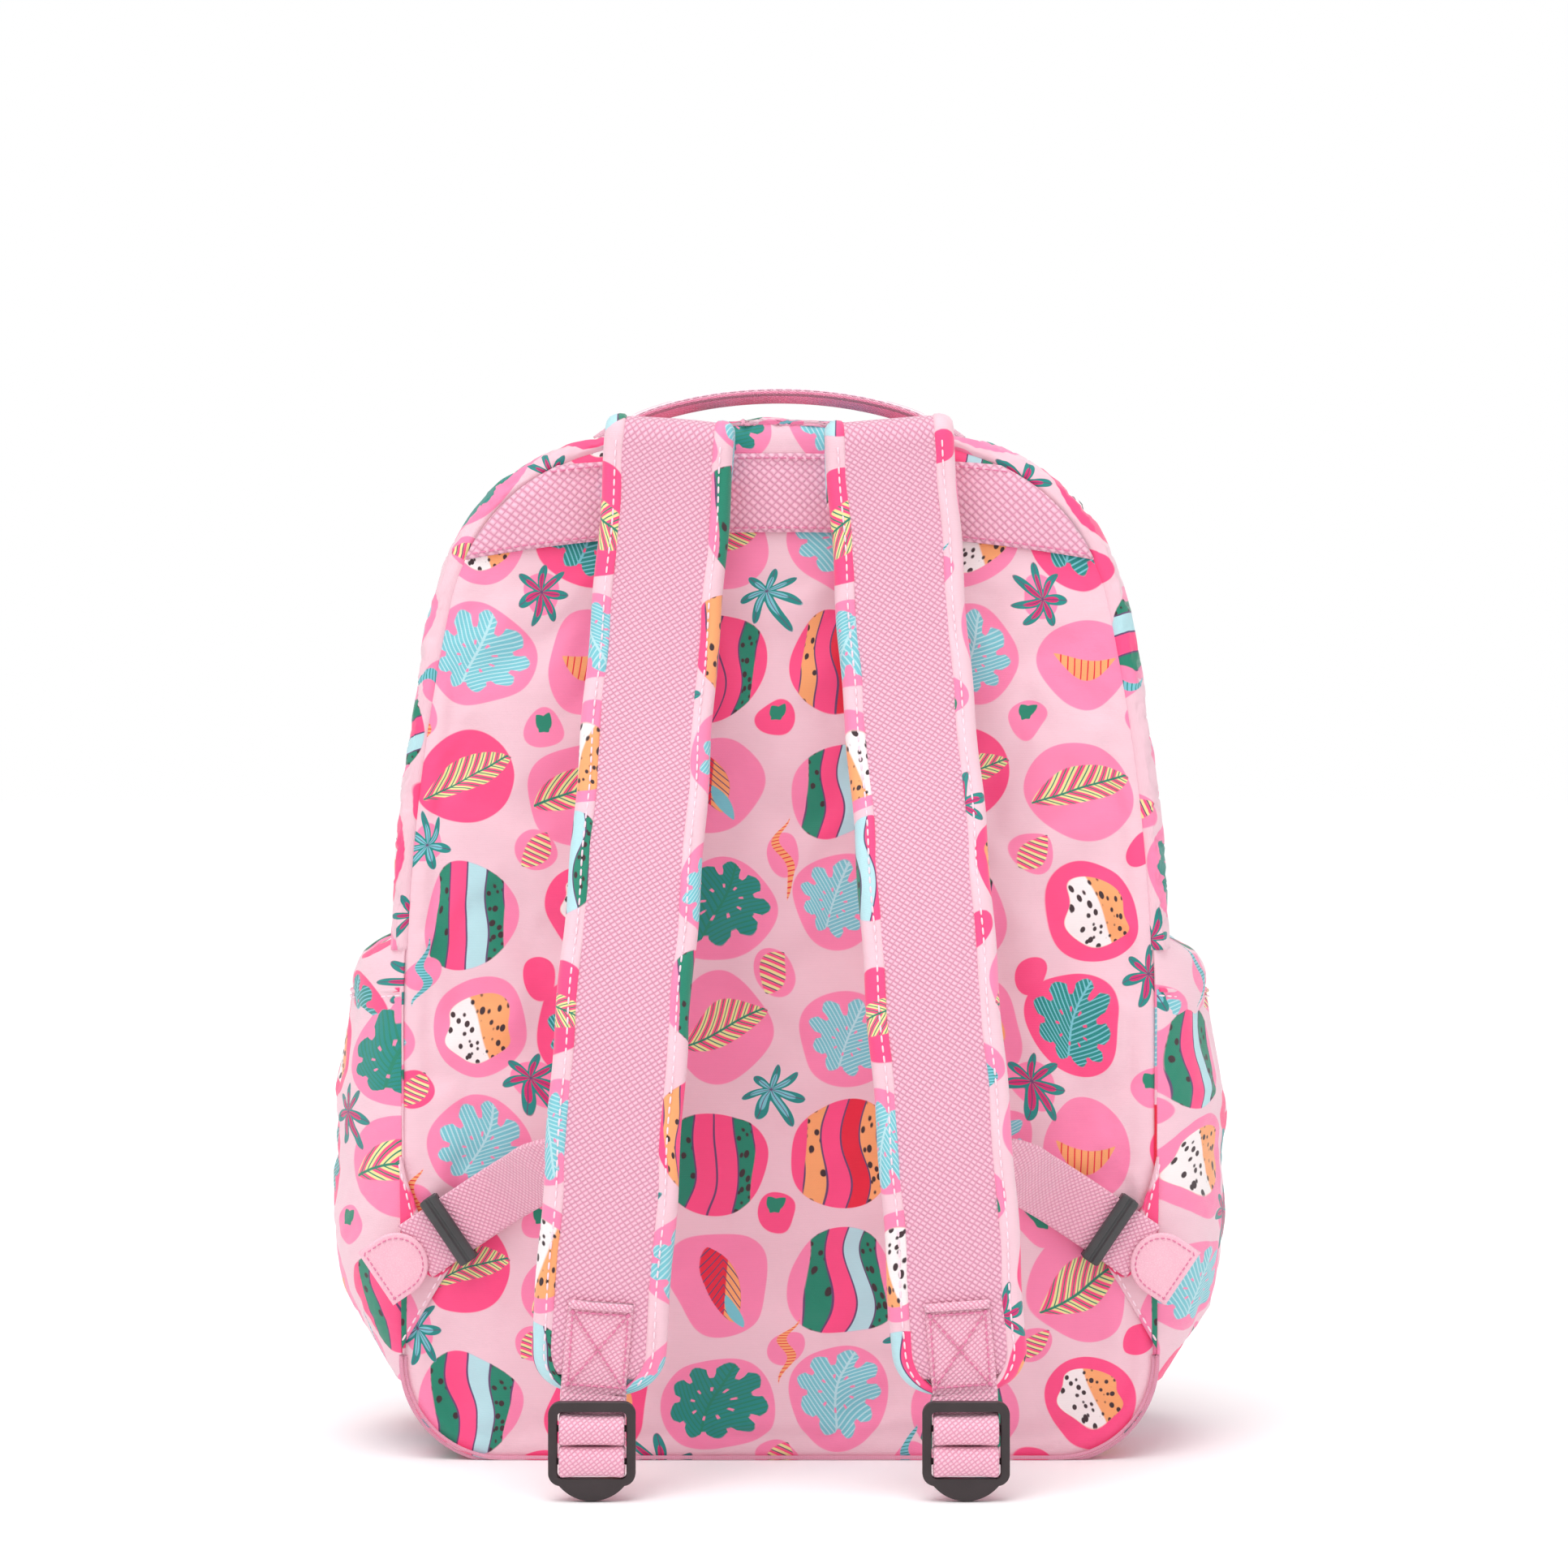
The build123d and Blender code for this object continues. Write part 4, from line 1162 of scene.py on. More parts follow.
def strap_line():
    """Side view of the strap's centre line from the root over the fold: y, height, and length so far."""
    points = [(STRAP_Y + FOLD_R, h) for h in np.linspace(-ROOT_RUN, 0, 8)[:-1]]
    points += [(STRAP_Y + FOLD_R * cos(t), FOLD_R * sin(t)) for t in np.linspace(0, pi, 15)]
    heading, y, h, steps = 0.0, STRAP_Y - FOLD_R, 0.0, 70
    for radius, turn in ((UPPER_R, UPPER_TURN), (LOWER_R, -LOWER_TURN)):
        for _ in range(steps):
            middle = heading + radians(turn) / steps / 2
            run = radius * abs(radians(turn)) / steps
            y, h = y - run * sin(middle), h - run * cos(middle)
            heading += radians(turn) / steps
            points.append((y, h))
    return np.array(points), run_along(points)


STRAP_PATH, STRAP_RUN = strap_line()
STRAP_LENGTH = STRAP_RUN[-1]
FOLD_AT = ROOT_RUN + pi * FOLD_R          # where the front length starts


def on_strap(side, across, along, height):
    """Points on a strap: across it, along it from the root, and out of its face."""
    across, along, height = np.broadcast_arrays(*(np.asarray(v, float) for v in (across, along, height)))
    y = np.interp(along, STRAP_RUN, STRAP_PATH[:, 0])
    h = np.interp(along, STRAP_RUN, STRAP_PATH[:, 1])
    before = [np.interp(along - 1.5, STRAP_RUN, STRAP_PATH[:, k]) for k in (0, 1)]
    after = [np.interp(along + 1.5, STRAP_RUN, STRAP_PATH[:, k]) for k in (0, 1)]
    dy, dh = after[0] - before[0], after[1] - before[1]
    size = np.hypot(dy, dh)
    y, h = y + height * dh / size, h - height * dy / size
    lean = radians(STRAP_SPLAY)
    x = across * cos(lean) + h * sin(lean)
    z = -across * sin(lean) + h * cos(lean)
    return np.stack([side * (STRAP_X - x), y, STRAP_Z + z], axis=-1)


def strap_half(along):
    """Half width of the strap, narrowing to a round end."""
    short = np.clip(along - (STRAP_LENGTH - STRAP_CORNER), 0, STRAP_CORNER)
    return STRAP_HALF - STRAP_CORNER + np.sqrt(STRAP_CORNER ** 2 - short ** 2)


def strap_rows():
    """Distances along the strap, closer together over the fold and round the end."""
    rounded = STRAP_LENGTH - STRAP_CORNER * (1 - np.sin(np.linspace(-0.15, pi / 2, 16))) - 0.2
    return np.concatenate([np.linspace(0, FOLD_AT, 24)[:-1],
                           np.linspace(FOLD_AT, STRAP_LENGTH - 20, 150)[:-1], rounded])


def strap_sway(along, side):
    """Unevenness of the bound edges."""
    return 0.35 * np.sin(along * 0.11 + side) + 0.25 * np.sin(along * 0.043 + 2 * side)


def bind(piece, side):
    """Strap fabric: bake the piece's transform into its mesh."""
    at = [side * STRAP_X * MM, 0.0, STRAP_Z * MM]
    start, end = list(at), list(at)
    start[1], end[1] = (STRAP_Y + FOLD_R * 0.9) * MM, (STRAP_Y - FOLD_R * 0.9) * MM
    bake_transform(piece)


def make_strap_pad(side, name):
    """Printed pad with a bound edge: flat loop of cross-sections along the strap."""
    edge = [(18.6, 1.9), (18.7, 3.0), (19.5, 3.75), (21.6, 4.0), (24.0, 3.5), (25.8, 2.3), (26.8, 0.6),
            (27.0, -1.0), (26.5, -2.6), (25.0, -3.8), (22.4, -4.4), (18.0, -4.5), (9.0, -4.9)]
    loop = edge + [(0.0, -5.0)] + [(-a, h) for a, h in edge[::-1]] + [(-9.0, 1.6), (0.0, 1.6), (9.0, 1.6)]
    rows, girth = strap_rows(), run_along(loop)
    verts, uvs = [], []
    for s in rows:
        pull, sway = STRAP_HALF - strap_half(s), strap_sway(s, side)
        for (a, h), far in zip(loop, girth):
            puff = 0.3 * sin(s * 0.19 + a * 0.3) if h > 2.5 or h < -3 else 0.0
            shift = np.sign(a) * pull * ease((abs(a) - 4.0) / 12.0)
            verts.append(on_strap(side, a - shift + sway * (abs(a) > 18), s, h + puff))
            uvs.append((far + 40.0 + side * 33.0, s))
    faces = turned(bar_faces(len(rows), len(loop)), side > 0)
    piece = make_piece(f"strap_pad_{name}_cloth", verts, faces, uvs)
    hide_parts(f"strap_pad_{name}", f"strap_root_{name}")
    bind(piece, side)


def make_strap_face(side, name):
    """Wide webbing between the bound edges."""
    rows = strap_rows()[:-8]
    loop = [(-20.6, 2.2), (-19.4, 2.9), (-17.5, 3.2), (-9.0, 3.35), (0.0, 3.4), (9.0, 3.35), (17.5, 3.2),
            (19.4, 2.9), (20.6, 2.2), (18.0, 1.8), (0.0, 1.8), (-18.0, 1.8)]
    verts, uvs = [], []
    for s in rows:
        pull = max(0.0, STRAP_HALF - float(strap_half(s)))
        for a, h in loop:
            lift = 0.18 * sin(s * 0.07 + a * 0.11 + side)
            verts.append(on_strap(side, a - np.sign(a) * pull * 0.8 * (abs(a) > 10), s, h + lift))
            uvs.append((a, s))
    faces = turned(bar_faces(len(rows), len(loop)), side < 0)
    piece = make_piece(f"strap_webbing_{name}_weave", verts, faces, uvs, STRAP_WEAVE)
    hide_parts(f"strap_webbing_{name}")
    bind(piece, side)


def strap_stitch_line(name, side, across, along, height, *how):
    """Stitches on a strap's face, which they stand out of."""
    path, above = (on_strap(side, across, along, h) for h in (height, height + 1.0))
    return stitches(name, path, above - path, *how)


def make_strap_stitches(side, name):
    along = np.linspace(FOLD_AT + 3, STRAP_LENGTH - 6, 300)
    pull, sway = STRAP_HALF - strap_half(along), strap_sway(along, side)
    lines = [strap_stitch_line(f"line_{k}", side, edge * (21.7 - pull) + sway, along, 4.15)
             for k, edge in enumerate((-1, 1))]
    piece = join(lines, f"strap_stitches_{name}")
    bind(piece, side)


def ribbon(name, path, across, width, thickness, material, bulge=0.0):
    """Webbing along a path: closed, with rounded selvages. across gives its width's direction."""
    path = np.array(path, float)
    across = unit(np.broadcast_to(np.array(across, float), path.shape))
    ahead = unit(np.gradient(path, axis=0))
    across = unit(across - ahead * np.sum(across * ahead, axis=1, keepdims=True))
    face = unit(np.cross(across, ahead))
    half, t = width / 2, thickness / 2
    section = [(-half, 0), (-half + 0.5, t * 0.85), (-half + 1.6, t), (-half / 2, t + bulge * 0.8),
               (0, t + bulge), (half / 2, t + bulge * 0.8), (half - 1.6, t), (half - 0.5, t * 0.85),
               (half, 0), (half - 0.5, -t * 0.85), (half - 1.6, -t), (half / 2, bulge * 0.8 - t),
               (0, bulge - t), (-half / 2, bulge * 0.8 - t), (-half + 1.6, -t), (-half + 0.5, -t * 0.85)]
    verts, uvs = [], []
    for point, side, out, far in zip(path, across, face, run_along(path)):
        for a, h in section:
            verts.append(point + side * a + out * h)
            uvs.append((a, far + (0 if h >= 0 else 0.6)))
    return make_piece(name, verts, turned(bar_faces(len(path), len(section))), uvs, material)


# ---------------------------------------------------------------- ladder locks and their webbing
PATCH_LENGTH, TAB_W = 37.0, 26.0


def lock_centre(name):
    low, high = corners(f"ladder_lock_{name}")
    return (low + high) / 2


def make_tab(side, name):
    """Box-stitched patch on the strap's face; it goes round the lock's upper bar and back up behind."""
    x, y, _ = lock_centre(name)
    top = STRAP_LENGTH - PATCH_LENGTH
    along = np.linspace(top, STRAP_LENGTH, 26)
    patch = on_strap(side, 0.0, along, 4.1 + 0.9 * ease(top + 3.0 - along))
    patch[:, 0] = np.interp(patch[:, 2], [patch[-1, 2], patch[0, 2]], [x, patch[0, 0]])
    down = curve_through([patch[-1], (x, y + 3.9, 37.4), (x, y + 2.6, 34.6), (x, y - 1.2, 33.2),
                          (x, y - 3.6, 30.6), (x, y - 4.0, 27.4), (x, y - 3.0, 24.2), (x, y + 0.2, 22.9),
                          (x, y + 4.6, 24.6), (x, y + 9.5, 32.0), (x, y + 14.9, 44.0),
                          (x * 0.993, y + 15.4, 62.0)], 90)
    path = np.vstack([patch, down[1:]])
    turn = radians(STRAP_SPLAY) * np.concatenate([np.ones(26), np.linspace(1, 0, 30), np.zeros(59)])
    across = np.stack([np.cos(turn), np.zeros_like(turn), side * np.sin(turn)], axis=1)
    piece = ribbon(f"strap_tab_{name}_weave", path, across, TAB_W, 1.5, LOW_WEAVE, 0.35)
    place(piece, f"strap_{name}", "webbing", f"strap_tab_{name}")
    hem = np.stack([np.linspace(-12.9, 12.9, 12), np.full(12, top + 1.6), np.full(12, 5.1)], axis=1)
    roll = tube(f"tab_hem_{name}", [on_strap(side, *row) for row in hem], 1.9, LOW_WEAVE, 10, flat=0.55)
    place(roll, f"strap_{name}", "webbing")
    half, first, last = 11.0, top + 4.6, STRAP_LENGTH - 3.5
    box = ((-half, first, half, first), (-half, last, half, last), (-half, first, -half, last),
           (half, first, half, last), (-half, first, half, last), (half, first, -half, last))
    seams = [strap_stitch_line(f"seam_{k}", side, np.linspace(a0, a1, 30), np.linspace(s0, s1, 30), 5.15,
                               PINK_THREAD, 2.2, 0.7, 0.4, 0.05)
             for k, (a0, s0, a1, s1) in enumerate(box)]
    place(join(seams, f"tab_stitches_{name}"), f"strap_{name}", "webbing")


def make_lock_loop(name):
    """Adjusting webbing over the lock's lower bar."""
    x, y, _ = lock_centre(name)
    path = curve_through([(x, y + 9.4, 19.8), (x, y + 4.5, 20.6), (x, y + 0.5, 21.4), (x, y - 2.6, 20.6),
                          (x, y - 4.1, 17.6), (x, y - 3.9, 13.8), (x, y - 2.4, 11.0), (x, y + 0.6, 10.4),
                          (x, y + 5.0, 11.6), (x, y + 9.4, 13.0)], 60)
    piece = ribbon(f"adjuster_loop_{name}_weave", path, (1, 0, 0), 26.0, 1.5, LOW_WEAVE, 0.5)
    place(piece, f"lock_{name}", "webbing", f"adjuster_loop_{name}")


def bevel(piece, width, segments):
    """Round a hard piece's edges."""
    edge = piece.modifiers.new("edge", "BEVEL")
    edge.width = width * MM
    edge.segments = segments
    edge.limit_method = "ANGLE"
    edge.angle_limit = radians(35)


def bevelled(node, width, material):
    """Soften a CAD node's edges and give it its finish."""
    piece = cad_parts[node]
    piece.data.materials.clear()
    piece.data.materials.append(material)
    weld = piece.modifiers.new("weld", "WELD")
    weld.merge_threshold = 0.00002
    bevel(piece, width, 3)


# ---------------------------------------------------------------- adjusting webbing, keepers and wings
KEEPER_LEAN = 34.0
KEEPER_SLIDE = 12.0       # its travel up the webbing
WEB_Y = BACK_Y - 4.5      # where the two layers touch


def keeper_centre(side):
    low, high = corners("keeper_left")
    return Vector((side * abs((low.x + high.x) / 2), (low.y + high.y) / 2, (low.z + high.z) / 2))


def along_webbing(side, s, w, y):
    """Point s along the webbing from the keeper and w across it."""
    centre = keeper_centre(side)
    lean = radians(KEEPER_LEAN)
    x = abs(centre.x) - s * cos(lean) + w * sin(lean)
    return np.stack(np.broadcast_arrays(side * x, y, centre.z + s * sin(lean) + w * cos(lean)), axis=-1)


def make_lower_webbing(side, name):
    """Two layers from the keeper up behind the strap, and down to the lock."""
    rise = [(-17, -0.2), (-8, 0.0), (0, 0.0), (9, 0.2), (18, 1.0), (28, 5.0), (38, 14.5), (48, 27.0)]
    from_keeper = [along_webbing(side, s, 0.0, WEB_Y - out) for s, out in rise]
    run = ((86.0, -105.0, 128.0), (78.5, -117.0, 119.0), (74.0, -127.0, 102.0),
           (73.0, -133.5, 80.0), (73.6, -138.0, 56.0), (74.2, -141.5, 34.0))
    behind = [(side * x, y, z) for x, y, z in run]
    lock = lock_centre(name)
    path = curve_through(from_keeper + behind + [(lock.x, lock.y + 9.6, 17.4)], 150)
    lean = radians(KEEPER_LEAN)
    turns = np.array([(side * sin(lean), 0, cos(lean)), (side * sin(lean), 0, cos(lean)),
                      (side * 0.8, -0.1, 0.6), (side * 1.0, 0.0, 0.15), (side * 1.0, 0, 0)])
    share = np.linspace(0, 1, 150)
    across = np.stack([np.interp(share, [0.0, 0.5, 0.66, 0.78, 1.0], column) for column in turns.T], axis=1)
    face = unit(np.cross(unit(across), unit(np.gradient(path, axis=0))))
    layers = [ribbon(f"layer_{k}", path + face * offset, across, LOW_W, WEB_T, LOW_WEAVE)
              for k, offset in enumerate((-0.8, 0.8))]
    piece = join(layers, f"adjusting_webbing_{name}")
    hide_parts(f"lower_webbing_{name}", f"webbing_run_{name}")
    start = along_webbing(side, 26, 0, WEB_Y) * MM
    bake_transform(piece)


def make_tip(side, name):
    """Vinyl end of the webbing: square outside, round towards the keeper, with a stitched border."""
    length, half = 24.0, LOW_W / 2 + 0.4
    outer, y = -37.0, WEB_Y - WEB_T - 0.2
    middle, bend = outer + length / 2, outer + length - half

    def outline(inset, skip, count):
        start, reach = outer + inset, half - inset
        turns = np.linspace(skip, pi - skip, count)
        rounded = [(bend + reach * sin(t), reach * cos(t)) for t in turns]
        return [(start, -reach), (start, reach), (bend, reach), *rounded, (bend, -reach)]

    border = outline(0.0, 0.15, 16)
    rings = ((1.0, 0.0), (1.0, -0.9), (0.975, -1.25), (0.93, -1.4), (0.82, -1.45), (0.4, -1.6))
    verts, uvs = [], []
    for share, out in rings:
        for s, w in border:
            uvs.append((middle + (s - middle) * share, w * share))
            verts.append(along_webbing(side, *uvs[-1], y + out))
    faces = turned(bar_faces(len(rings), len(border)), side < 0)
    piece = make_piece(f"webbing_tip_{name}_vinyl", verts, faces, uvs, VINYL)
    place(piece, "root", "vinyl", f"webbing_tip_{name}")
    seam = outline(2.2, 0.1, 14)
    line = [along_webbing(side, s, w, y - 1.6) for s, w in seam + seam[:1]]
    thread = stitches(f"tip_stitches_{name}", line, (0, -1, 0), PINK_THREAD, 1.7, 0.8, 0.3, 0.05)
    place(thread, "root", "vinyl")


def make_keeper(side, name):
    """Moulded keeper: two ridges with a groove between them, and chamfered ends, round the webbing."""
    low, high = corners(f"keeper_{name}")
    front, rear = low.y - 0.5, high.y - 0.8
    half, arm, gap = 15.9, 2.5, (WEB_Y - 3.4, rear - 1.1)
    ridge = [(-4.2, 1.4), (-3.4, 0.3), (-1.0, 0.0), (-0.45, 0.75),
             (0.45, 0.75), (1.0, 0.0), (3.4, 0.3), (4.2, 1.4)]
    verts, faces = [], []

    def bar(section, ends):
        """Bar across the webbing. section lists along and depth, and ends lists place and size."""
        rings = [along_webbing(side, s * size, w, y) for w, size in ends for s, y in section]
        add_bar(verts, faces, rings, len(section))

    lengthwise = [(-half, 0.8), (-half + 0.9, 1.0), (half - 0.9, 1.0), (half, 0.8)]
    bar([(s, front + d) for s, d in ridge] + [(4.0, gap[0]), (-4.0, gap[0])], lengthwise)
    bar([(-4.0, gap[1]), (4.0, gap[1]), (3.6, rear), (-3.6, rear)], lengthwise)
    side_wall = [(-4.0, gap[0] - 0.2), (4.0, gap[0] - 0.2), (4.0, gap[1] + 0.2), (-4.0, gap[1] + 0.2)]
    for outer in (-1, 1):
        bar(side_wall, sorted(((outer * (half - 0.3), 1.0), (outer * (half - arm), 1.0))))
    piece = make_piece(f"keeper_{name}_moulding", verts, faces, material=KEEPER_PLASTIC, smooth=False)
    if side < 0:
        piece.data.flip_normals()
    bevel(piece, 0.35, 2)
    apply_modifiers(piece)
    place(piece, f"keeper_{name}", "buckle_plastic", f"keeper_{name}")


def make_wing(side, name):
    """Folded triangle of print that holds the webbing to the side seam."""
    seam_x = HALF_W + 1.2
    rows, columns = 15, 25
    high = np.array([(seam_x, 128.0), tuple(along_webbing(1, -9, 13.4, 0)[[0, 2]])])
    low = np.array([(seam_x - 1.0, 47.0), tuple(along_webbing(1, -9, -13.6, 0)[[0, 2]])])
    verts, uvs = [], []
    for t in np.linspace(0, 1, rows):
        a, b = high[0] * (1 - t) + high[1] * t, low[0] * (1 - t) + low[1] * t
        for w in np.linspace(0, 1, columns):
            x, z = a * (1 - w) + b * w
            lift = 1.0 + 2.2 * t + 2.4 * sin(pi * w) * (1 - t) * t * 2 + 0.5 * sin(w * 9 + t * 4)
            verts.append((side * x, BACK_Y + 1.2 * (1 - t) - lift, z))
            uvs.append((x + 60.0, z + 20.0))
    piece = make_piece(f"side_wing_{name}_cloth", verts, turned(grid_faces(rows, columns), side < 0), uvs)
    thicken(refine(piece), 1.6, 1.0)
    place(piece, "root", "printed_fabric", f"side_wing_{name}")
    for tag, (a, b), drop in (("upper", high, -3.0), ("lower", low, 3.0)):
        line = [(side * (a[0] * (1 - t) + b[0] * t), BACK_Y + 1.0 * (1 - t) - 2.8 - 2.2 * t,
                 a[1] * (1 - t) + b[1] * t + drop) for t in np.linspace(0.06, 0.9, 20)]
        place(stitches(f"wing_{tag}_stitches_{name}", line, (0, -1, 0)), "root", "printed_fabric")


# ---------------------------------------------------------------- yoke and handle
YOKE_R, YOKE_W, YOKE_LOW = 768.0, 33.0, 391.0


def yoke_reach(z_centre, radius):
    """How far out an arc runs before it meets the seam."""
    low, high = 40.0, 160.0
    for _ in range(40):
        x = (low + high) / 2
        inside = edge_distance(np.array([x, z_centre + sqrt(radius ** 2 - x ** 2)]))
        low, high = (x, high) if inside > 1.6 else (low, x)
    return low


def make_yoke():
    """Band of coarse webbing across the top of the back panel."""
    centre_z = YOKE_LOW - YOKE_R
    rows, columns = 15, 121
    verts, uvs = [], []
    for w in np.linspace(0, YOKE_W, rows):
        radius = YOKE_R + w
        reach = yoke_reach(centre_z, radius)
        for x in np.linspace(-reach, reach, columns):
            z = centre_z + sqrt(radius ** 2 - x ** 2)
            crease = 0.5 * np.exp(-((w - YOKE_W + 5.5) / 1.4) ** 2)
            puff = 0.7 * sin(pi * min(1.0, w / YOKE_W)) + 0.35 * sin(x * 0.06 + w * 0.1)
            verts.append((x, float(back_y(np.array(x), np.array(z))) - 0.7 - puff + crease, z))
            uvs.append((x, w))
    piece = make_piece("yoke_webbing_weave", verts, grid_faces(rows, columns), uvs, YOKE_WEAVE)
    thicken(piece, 1.5, 1.0)
    place(piece, "root", "webbing", "yoke_webbing")
    lines = []
    for w in (1.8, YOKE_W - 1.8):
        radius = YOKE_R + w
        reach = yoke_reach(centre_z, radius) - 3
        path = []
        for x in np.linspace(-reach, reach, 90):
            z = centre_z + sqrt(radius ** 2 - x ** 2)
            path.append((x, float(back_y(np.array(x), np.array(z))) - 2.6 - 0.7 * sin(pi * w / YOKE_W), z))
        lines.append(stitches(f"yoke_line_{len(lines)}", path, (0, -1, 0), PINK_THREAD, 2.6, 1.0, 0.35, 0.1))
    place(join(lines, "yoke_stitches"), "root", "webbing")



HANDLE_FOOT = 439.4       # height of the band where it meets its ends


def make_handle():
    """Padded loop: folded webbing with a darker underside, and its sewn ends."""
    low, high = corners("grab_handle")
    y, half, thick = (low.y + high.y) / 2, high.x, 6.6
    width = high.y - low.y
    top = high.z - thick / 2
    across = np.linspace(-half, half, 81)
    rise = (top - HANDLE_FOOT) * (1 - (across / half) ** 2) ** 0.85
    path = np.stack([across, np.full(81, y), HANDLE_FOOT + rise], axis=1)
    sides = 20
    band = tube("grab_handle_band", path, width / 2, HANDLE_TOP, sides, flat=thick / width, facing=(0, 0, 1))
    band.data.materials.append(HANDLE_FACE)
    band.data.materials.append(HANDLE_EDGE)
    # lower faces take the hot pink underside and the rest the top webbing, both painted lighter against the
    # handle's shade; a pale line runs just under the top
    for face in band.data.polygons:
        height = face.center[2] / MM - np.interp(face.center[0] / MM, path[:, 0], path[:, 2])
        face.material_index = 1 if height < 0.9 else 2 if 2.3 < height < 3.0 else 0
    place(band, "handle", "webbing", "grab_handle")
    lines = []
    for out in (-1, 1):
        line = path + (0, out * (width / 2 - 1.1), 1.9)
        lines.append(stitches(f"handle_line_{out}", line, (0, out * 0.7, 0.7), THREAD, 2.8, 1.2, 0.35, 0.1))
    place(join(lines, "handle_stitches"), "handle", "webbing")
    for side, name in ((-1, "left"), (1, "right")):
        end = curve_through([(side * (half + run), y, HANDLE_FOOT + lift)
                             for run, lift in ((-2, 0.5), (4, -1.7), (10, -4.8), (15.5, -8.8))], 30)
        tab = tube(f"handle_end_{name}_tab", end, width / 2 + np.linspace(0.3, 1.5, 30), LOW_WEAVE, sides,
                   flat=0.34, facing=(0, 0, 1))
        place(tab, "root", "webbing", f"handle_end_{name}")


def rounded_edges(half_w, half_h, radius, columns, rows):
    """Four edges of a rounded rectangle, each from the middle of one corner to the next."""
    def corner(cx, cz, first, last):
        return [(cx + radius * sin(t), cz + radius * cos(t)) for t in np.linspace(first, last, 12)]

    w, h, q = half_w - radius, half_h - radius, pi / 4
    bottom = resample(corner(-w, -h, -3 * q, -4 * q) + corner(w, -h, 4 * q, 3 * q), columns)
    right = resample(corner(w, -h, 3 * q, 2 * q) + corner(w, h, 2 * q, q), rows)
    top = resample(corner(-w, h, -q, 0) + corner(w, h, 0, q), columns)
    return bottom, right, top, right * (-1, 1)


def loop_of(edges):
    """One closed loop of the four edges."""
    bottom, right, top, left = edges
    return np.concatenate([bottom[:-1], right[:-1], top[::-1][:-1], left[::-1][:-1]])


def make_front_pocket(name, body, corner):
    """Puffed box pocket with a zip across its face."""
    low, high = corners(f"{name}_shell")
    half_w, half_h, middle = high.x, (high.z - low.z) / 2, (high.z + low.z) / 2
    depth, base = high.y - low.y, low.y
    zip_low, zip_high = corners(f"{name}_zip")
    zip_z, zip_half = (zip_low.z + zip_high.z) / 2, zip_high.x
    columns, rows = 89, 71
    wall = [(1.5, -0.6), (-1.0, depth * 0.12), (-2.4, depth * 0.4), (-1.6, depth * 0.65), (0.6, depth * 0.86),
            (3.6, depth * 0.955), (8.0, depth - 0.5)]
    verts, uvs = [], []
    for inset, out in curve_through(wall, 15):
        edges = rounded_edges(half_w - inset, half_h - inset, max(corner - inset, 6), columns, rows)
        loop = loop_of(edges)
        normals = unit(np.roll(loop, -1, 0) - np.roll(loop, 1, 0))[:, ::-1] * (1, -1)
        for (x, z), (nx, nz) in zip(loop, normals):
            verts.append((x, base + out, middle + z))
            spread = depth - out
            uvs.append((20.0 - x - nx * spread, middle + z + nz * spread))
    first = len(verts)
    for x, z in coons(*edges).reshape(-1, 2):
        share = (1 - (x / half_w) ** 2) * (1 - (z / half_h) ** 2)
        near_zip = np.exp(-(((middle + z - zip_z) / 7.5) ** 4)) * (abs(x) < zip_half + 2)
        puff = 3.4 * share * (1 - near_zip)
        verts.append((x, base + depth - 0.5 + puff - 1.5 * near_zip, middle + z))
        uvs.append((20.0 - x, middle + z))
    faces = grid_faces(15, len(loop), closed=True)
    faces += [tuple(first + k for k in f) for f in grid_faces(rows, columns)]
    piece = make_piece(f"{name}_shell_cloth", verts, faces, uvs)
    face_front(piece)
    weld = piece.modifiers.new("weld", "WELD")
    weld.merge_threshold = 0.0001
    apply_modifiers(piece)
    points = points_of(piece)
    out = (points[:, 1] - base) / depth
    near = np.exp(-(((points[:, 2] - zip_z) / 11.0) ** 4)) * (np.abs(points[:, 0]) < zip_half + 8)
    held = np.clip(1.0 - 0.85 * ease(out / 0.4) * (1 - near), 0, 1)
    drape(piece, held, 1.3, 2.2, frames=16)
    points = points_of(piece)
    points[:, 1] += ripple(points[:, 0], points[:, 2], 31, 0.9) * ease(out) * (1 - near)
    move_points(piece, points)
    lined(piece, 1.6)
    place(piece, body, "printed_fabric", f"{name}_shell")
    straight_zip(name, body, zip_half, zip_z, base + depth)
    loop = loop_of(rounded_edges(half_w - 0.6, half_h - 0.6, corner, columns, rows))
    ring = [(x, base + depth * 0.9 + 0.4, middle + z) for x, z in loop]
    piping = tube(f"{name}_piping", ring, 1.5, HOT_CLOTH, closed=True)
    place(piping, body, "printed_fabric")


def face_front(piece):
    """Turn the faces round when most of them look to the back."""
    if sum(face.normal.y * face.area for face in piece.data.polygons) < 0:
        piece.data.flip_normals()


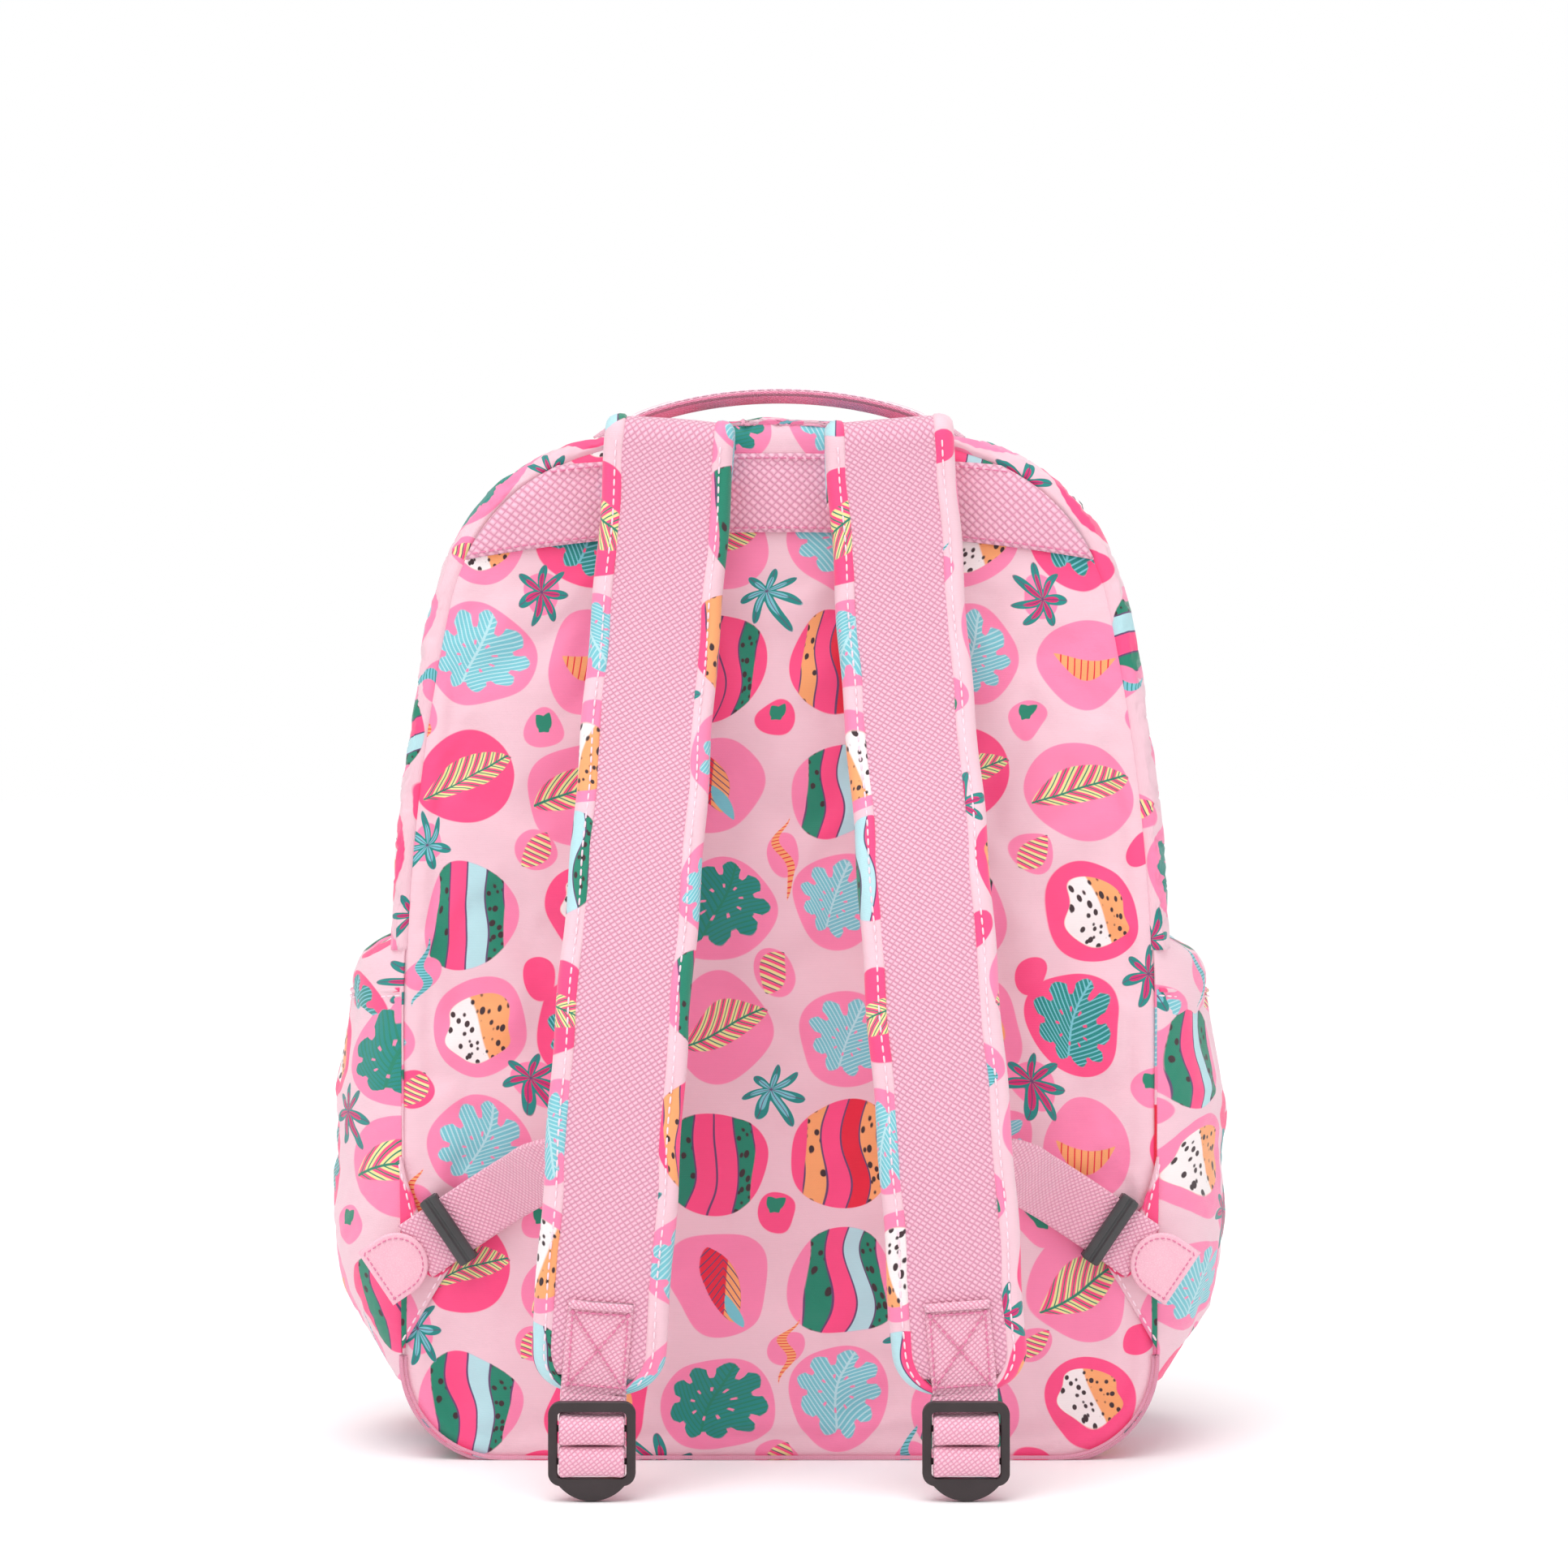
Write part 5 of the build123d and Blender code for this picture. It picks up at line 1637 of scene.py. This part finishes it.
def straight_zip(name, body, half, z, y):
    """Level zip on a pocket's face: tape, teeth, folded lips, end stops and stitches."""
    columns = 60
    laid = [(x, d) for d in (-7, -3, 3, 7) for x in np.linspace(-half, half, columns)]
    tape = make_piece(f"{name}_zip_tape", [(x, y - 1.0, z + d) for x, d in laid],
                      grid_faces(4, columns), laid, TAPE)
    face_front(tape)
    thicken(tape, 0.7)
    place(tape, body, "zip_tape", f"{name}_zip")
    verts, faces = [], []
    pitch = 1.5
    for side in (-1, 1):
        for k in range(int(2 * half / pitch) - 3):
            x = 2.5 - half + (k + (0.5 if side > 0 else 0.0)) * pitch
            rings = [(x + run * size, y - 0.5 + rise * size * 0.8, z + side * out)
                     for out, size in ((0.1, 0.55), (0.5, 1.0), (2.3, 1.0), (2.8, 0.7))
                     for run, rise in ((-0.5, -0.8), (-0.5, 0.8), (0.5, 0.8), (0.5, -0.8))]
            add_bar(verts, faces, rings, 4)
    teeth = make_piece(f"{name}_zip_teeth", verts, faces, material=COIL)
    place(teeth, body, "zip_coil")
    for side, tag in ((-1, "lower"), (1, "upper")):
        line = [(x, y - 0.1, z + side * 7.4) for x in np.linspace(-half - 3, half + 3, columns)]
        lip = tube(f"{name}_zip_lip_{tag}", line, 1.7, PRINT, 10, flat=0.75, uv_start=(50, 10))
        place(lip, body, "printed_fabric")
        seam = [(x, y + 0.75, z + side * 11.0) for x in np.linspace(-half - 2, half + 2, columns)]
        place(stitches(f"{name}_zip_stitches_{tag}", seam, (0, 1, 0)), body, "printed_fabric")
    for side, tag in ((-1, "start"), (1, "end")):
        stop = [(side * (half - 1.0), y - 0.2, z + d) for d in np.linspace(-6.5, 6.5, 12)]
        bar = tube(f"{name}_zip_{tag}", stop, 1.3, TAPE, flat=0.6)
        place(bar, body, "zip_tape")


def finish_frame_nodes():
    """Give every CAD node that still shows its own finish."""
    for node in ("back_lining", "laptop_sleeve"):
        bevelled(node, 0.4, INNER_CLOTH)
    bevelled("base_board", 0.5, BOARD)
    for kind in ("slider", "puller"):
        for node in (f"main_{kind}_left", f"main_{kind}_right",
                     f"lower_pocket_{kind}", f"upper_pocket_{kind}"):
            bevelled(node, 0.35, ZIP_METAL)


# ---------------------------------------------------------------- build
make_back_panel()
make_gussets()
make_zip()
make_front_panel()
make_side_panels()
make_side_pockets()
make_bottom_panel()
for side, name in ((-1, "left"), (1, "right")):
    make_strap_pad(side, name)
    make_strap_face(side, name)
    make_strap_stitches(side, name)
    make_tab(side, name)
    make_lock_loop(name)
    make_lower_webbing(side, name)
    make_tip(side, name)
    make_wing(side, name)
    bevelled(f"ladder_lock_{name}", 0.8, BUCKLE)
    make_keeper(side, name)
make_yoke()
make_handle()
make_front_pocket("lower_pocket", "root", 24.0)
make_front_pocket("upper_pocket", "flap", 20.0)
finish_frame_nodes()


# ---------------------------------------------------------------- room
FLOOR = 60.0              # half its width, in metres
AMBIENT = 0.5             # light from all round


def soft_light(name, location, target, size, power):
    data = bpy.data.lights.new(name, "AREA")
    data.shape = "RECTANGLE"
    data.size = data.size_y = size
    data.energy = power
    lamp = bpy.data.objects.new(name, data)
    lamp.location = location
    lamp.rotation_euler = (Vector(target) - Vector(location)).to_track_quat("-Z", "Y").to_euler()
    bpy.context.scene.collection.objects.link(lamp)


def make_room():
    mesh = bpy.data.meshes.new("floor")
    square = [(-FLOOR, -FLOOR, 0), (FLOOR, -FLOOR, 0), (FLOOR, FLOOR, 0), (-FLOOR, FLOOR, 0)]
    mesh.from_pydata(square, [], [(0, 1, 2, 3)])
    floor = bpy.data.objects.new("floor", mesh)
    bpy.context.scene.collection.objects.link(floor)
    g = Graph("floor_paper")
    g.shader.inputs["Base Color"].default_value = (0.98, 0.98, 0.98, 1)
    g.shader.inputs["Roughness"].default_value = 0.8
    mesh.materials.append(g.material)

    world = bpy.data.worlds.new("room")
    world.use_nodes = True
    tree = world.node_tree
    background = tree.nodes["Background"]
    background.inputs[0].default_value = (1, 1, 1, 1)
    path = tree.nodes.new("ShaderNodeLightPath")
    level = tree.nodes.new("ShaderNodeMapRange")
    level.inputs["To Min"].default_value = AMBIENT
    level.inputs["To Max"].default_value = 1.0
    tree.links.new(path.outputs["Is Camera Ray"], level.inputs["Value"])
    tree.links.new(level.outputs[0], background.inputs[1])
    bpy.context.scene.world = world

    sky = bpy.data.lights.new("sky", "SUN")
    sky.energy = 1.95
    sky.angle = radians(48)
    lamp = bpy.data.objects.new("sky", sky)
    lamp.rotation_euler = (radians(14), radians(-6), 0)
    bpy.context.scene.collection.objects.link(lamp)
    soft_light("key", (-1.2, -1.9, 1.7), (0, 0, 0.22), 1.6, 12)
    soft_light("fill", (1.7, -1.6, 1.1), (0, 0, 0.22), 1.8, 7)
    soft_light("rim", (0.8, 2.1, 1.5), (0, 0, 0.25), 1.8, 10)
    bpy.context.scene.view_settings.view_transform = "Standard"


make_room()
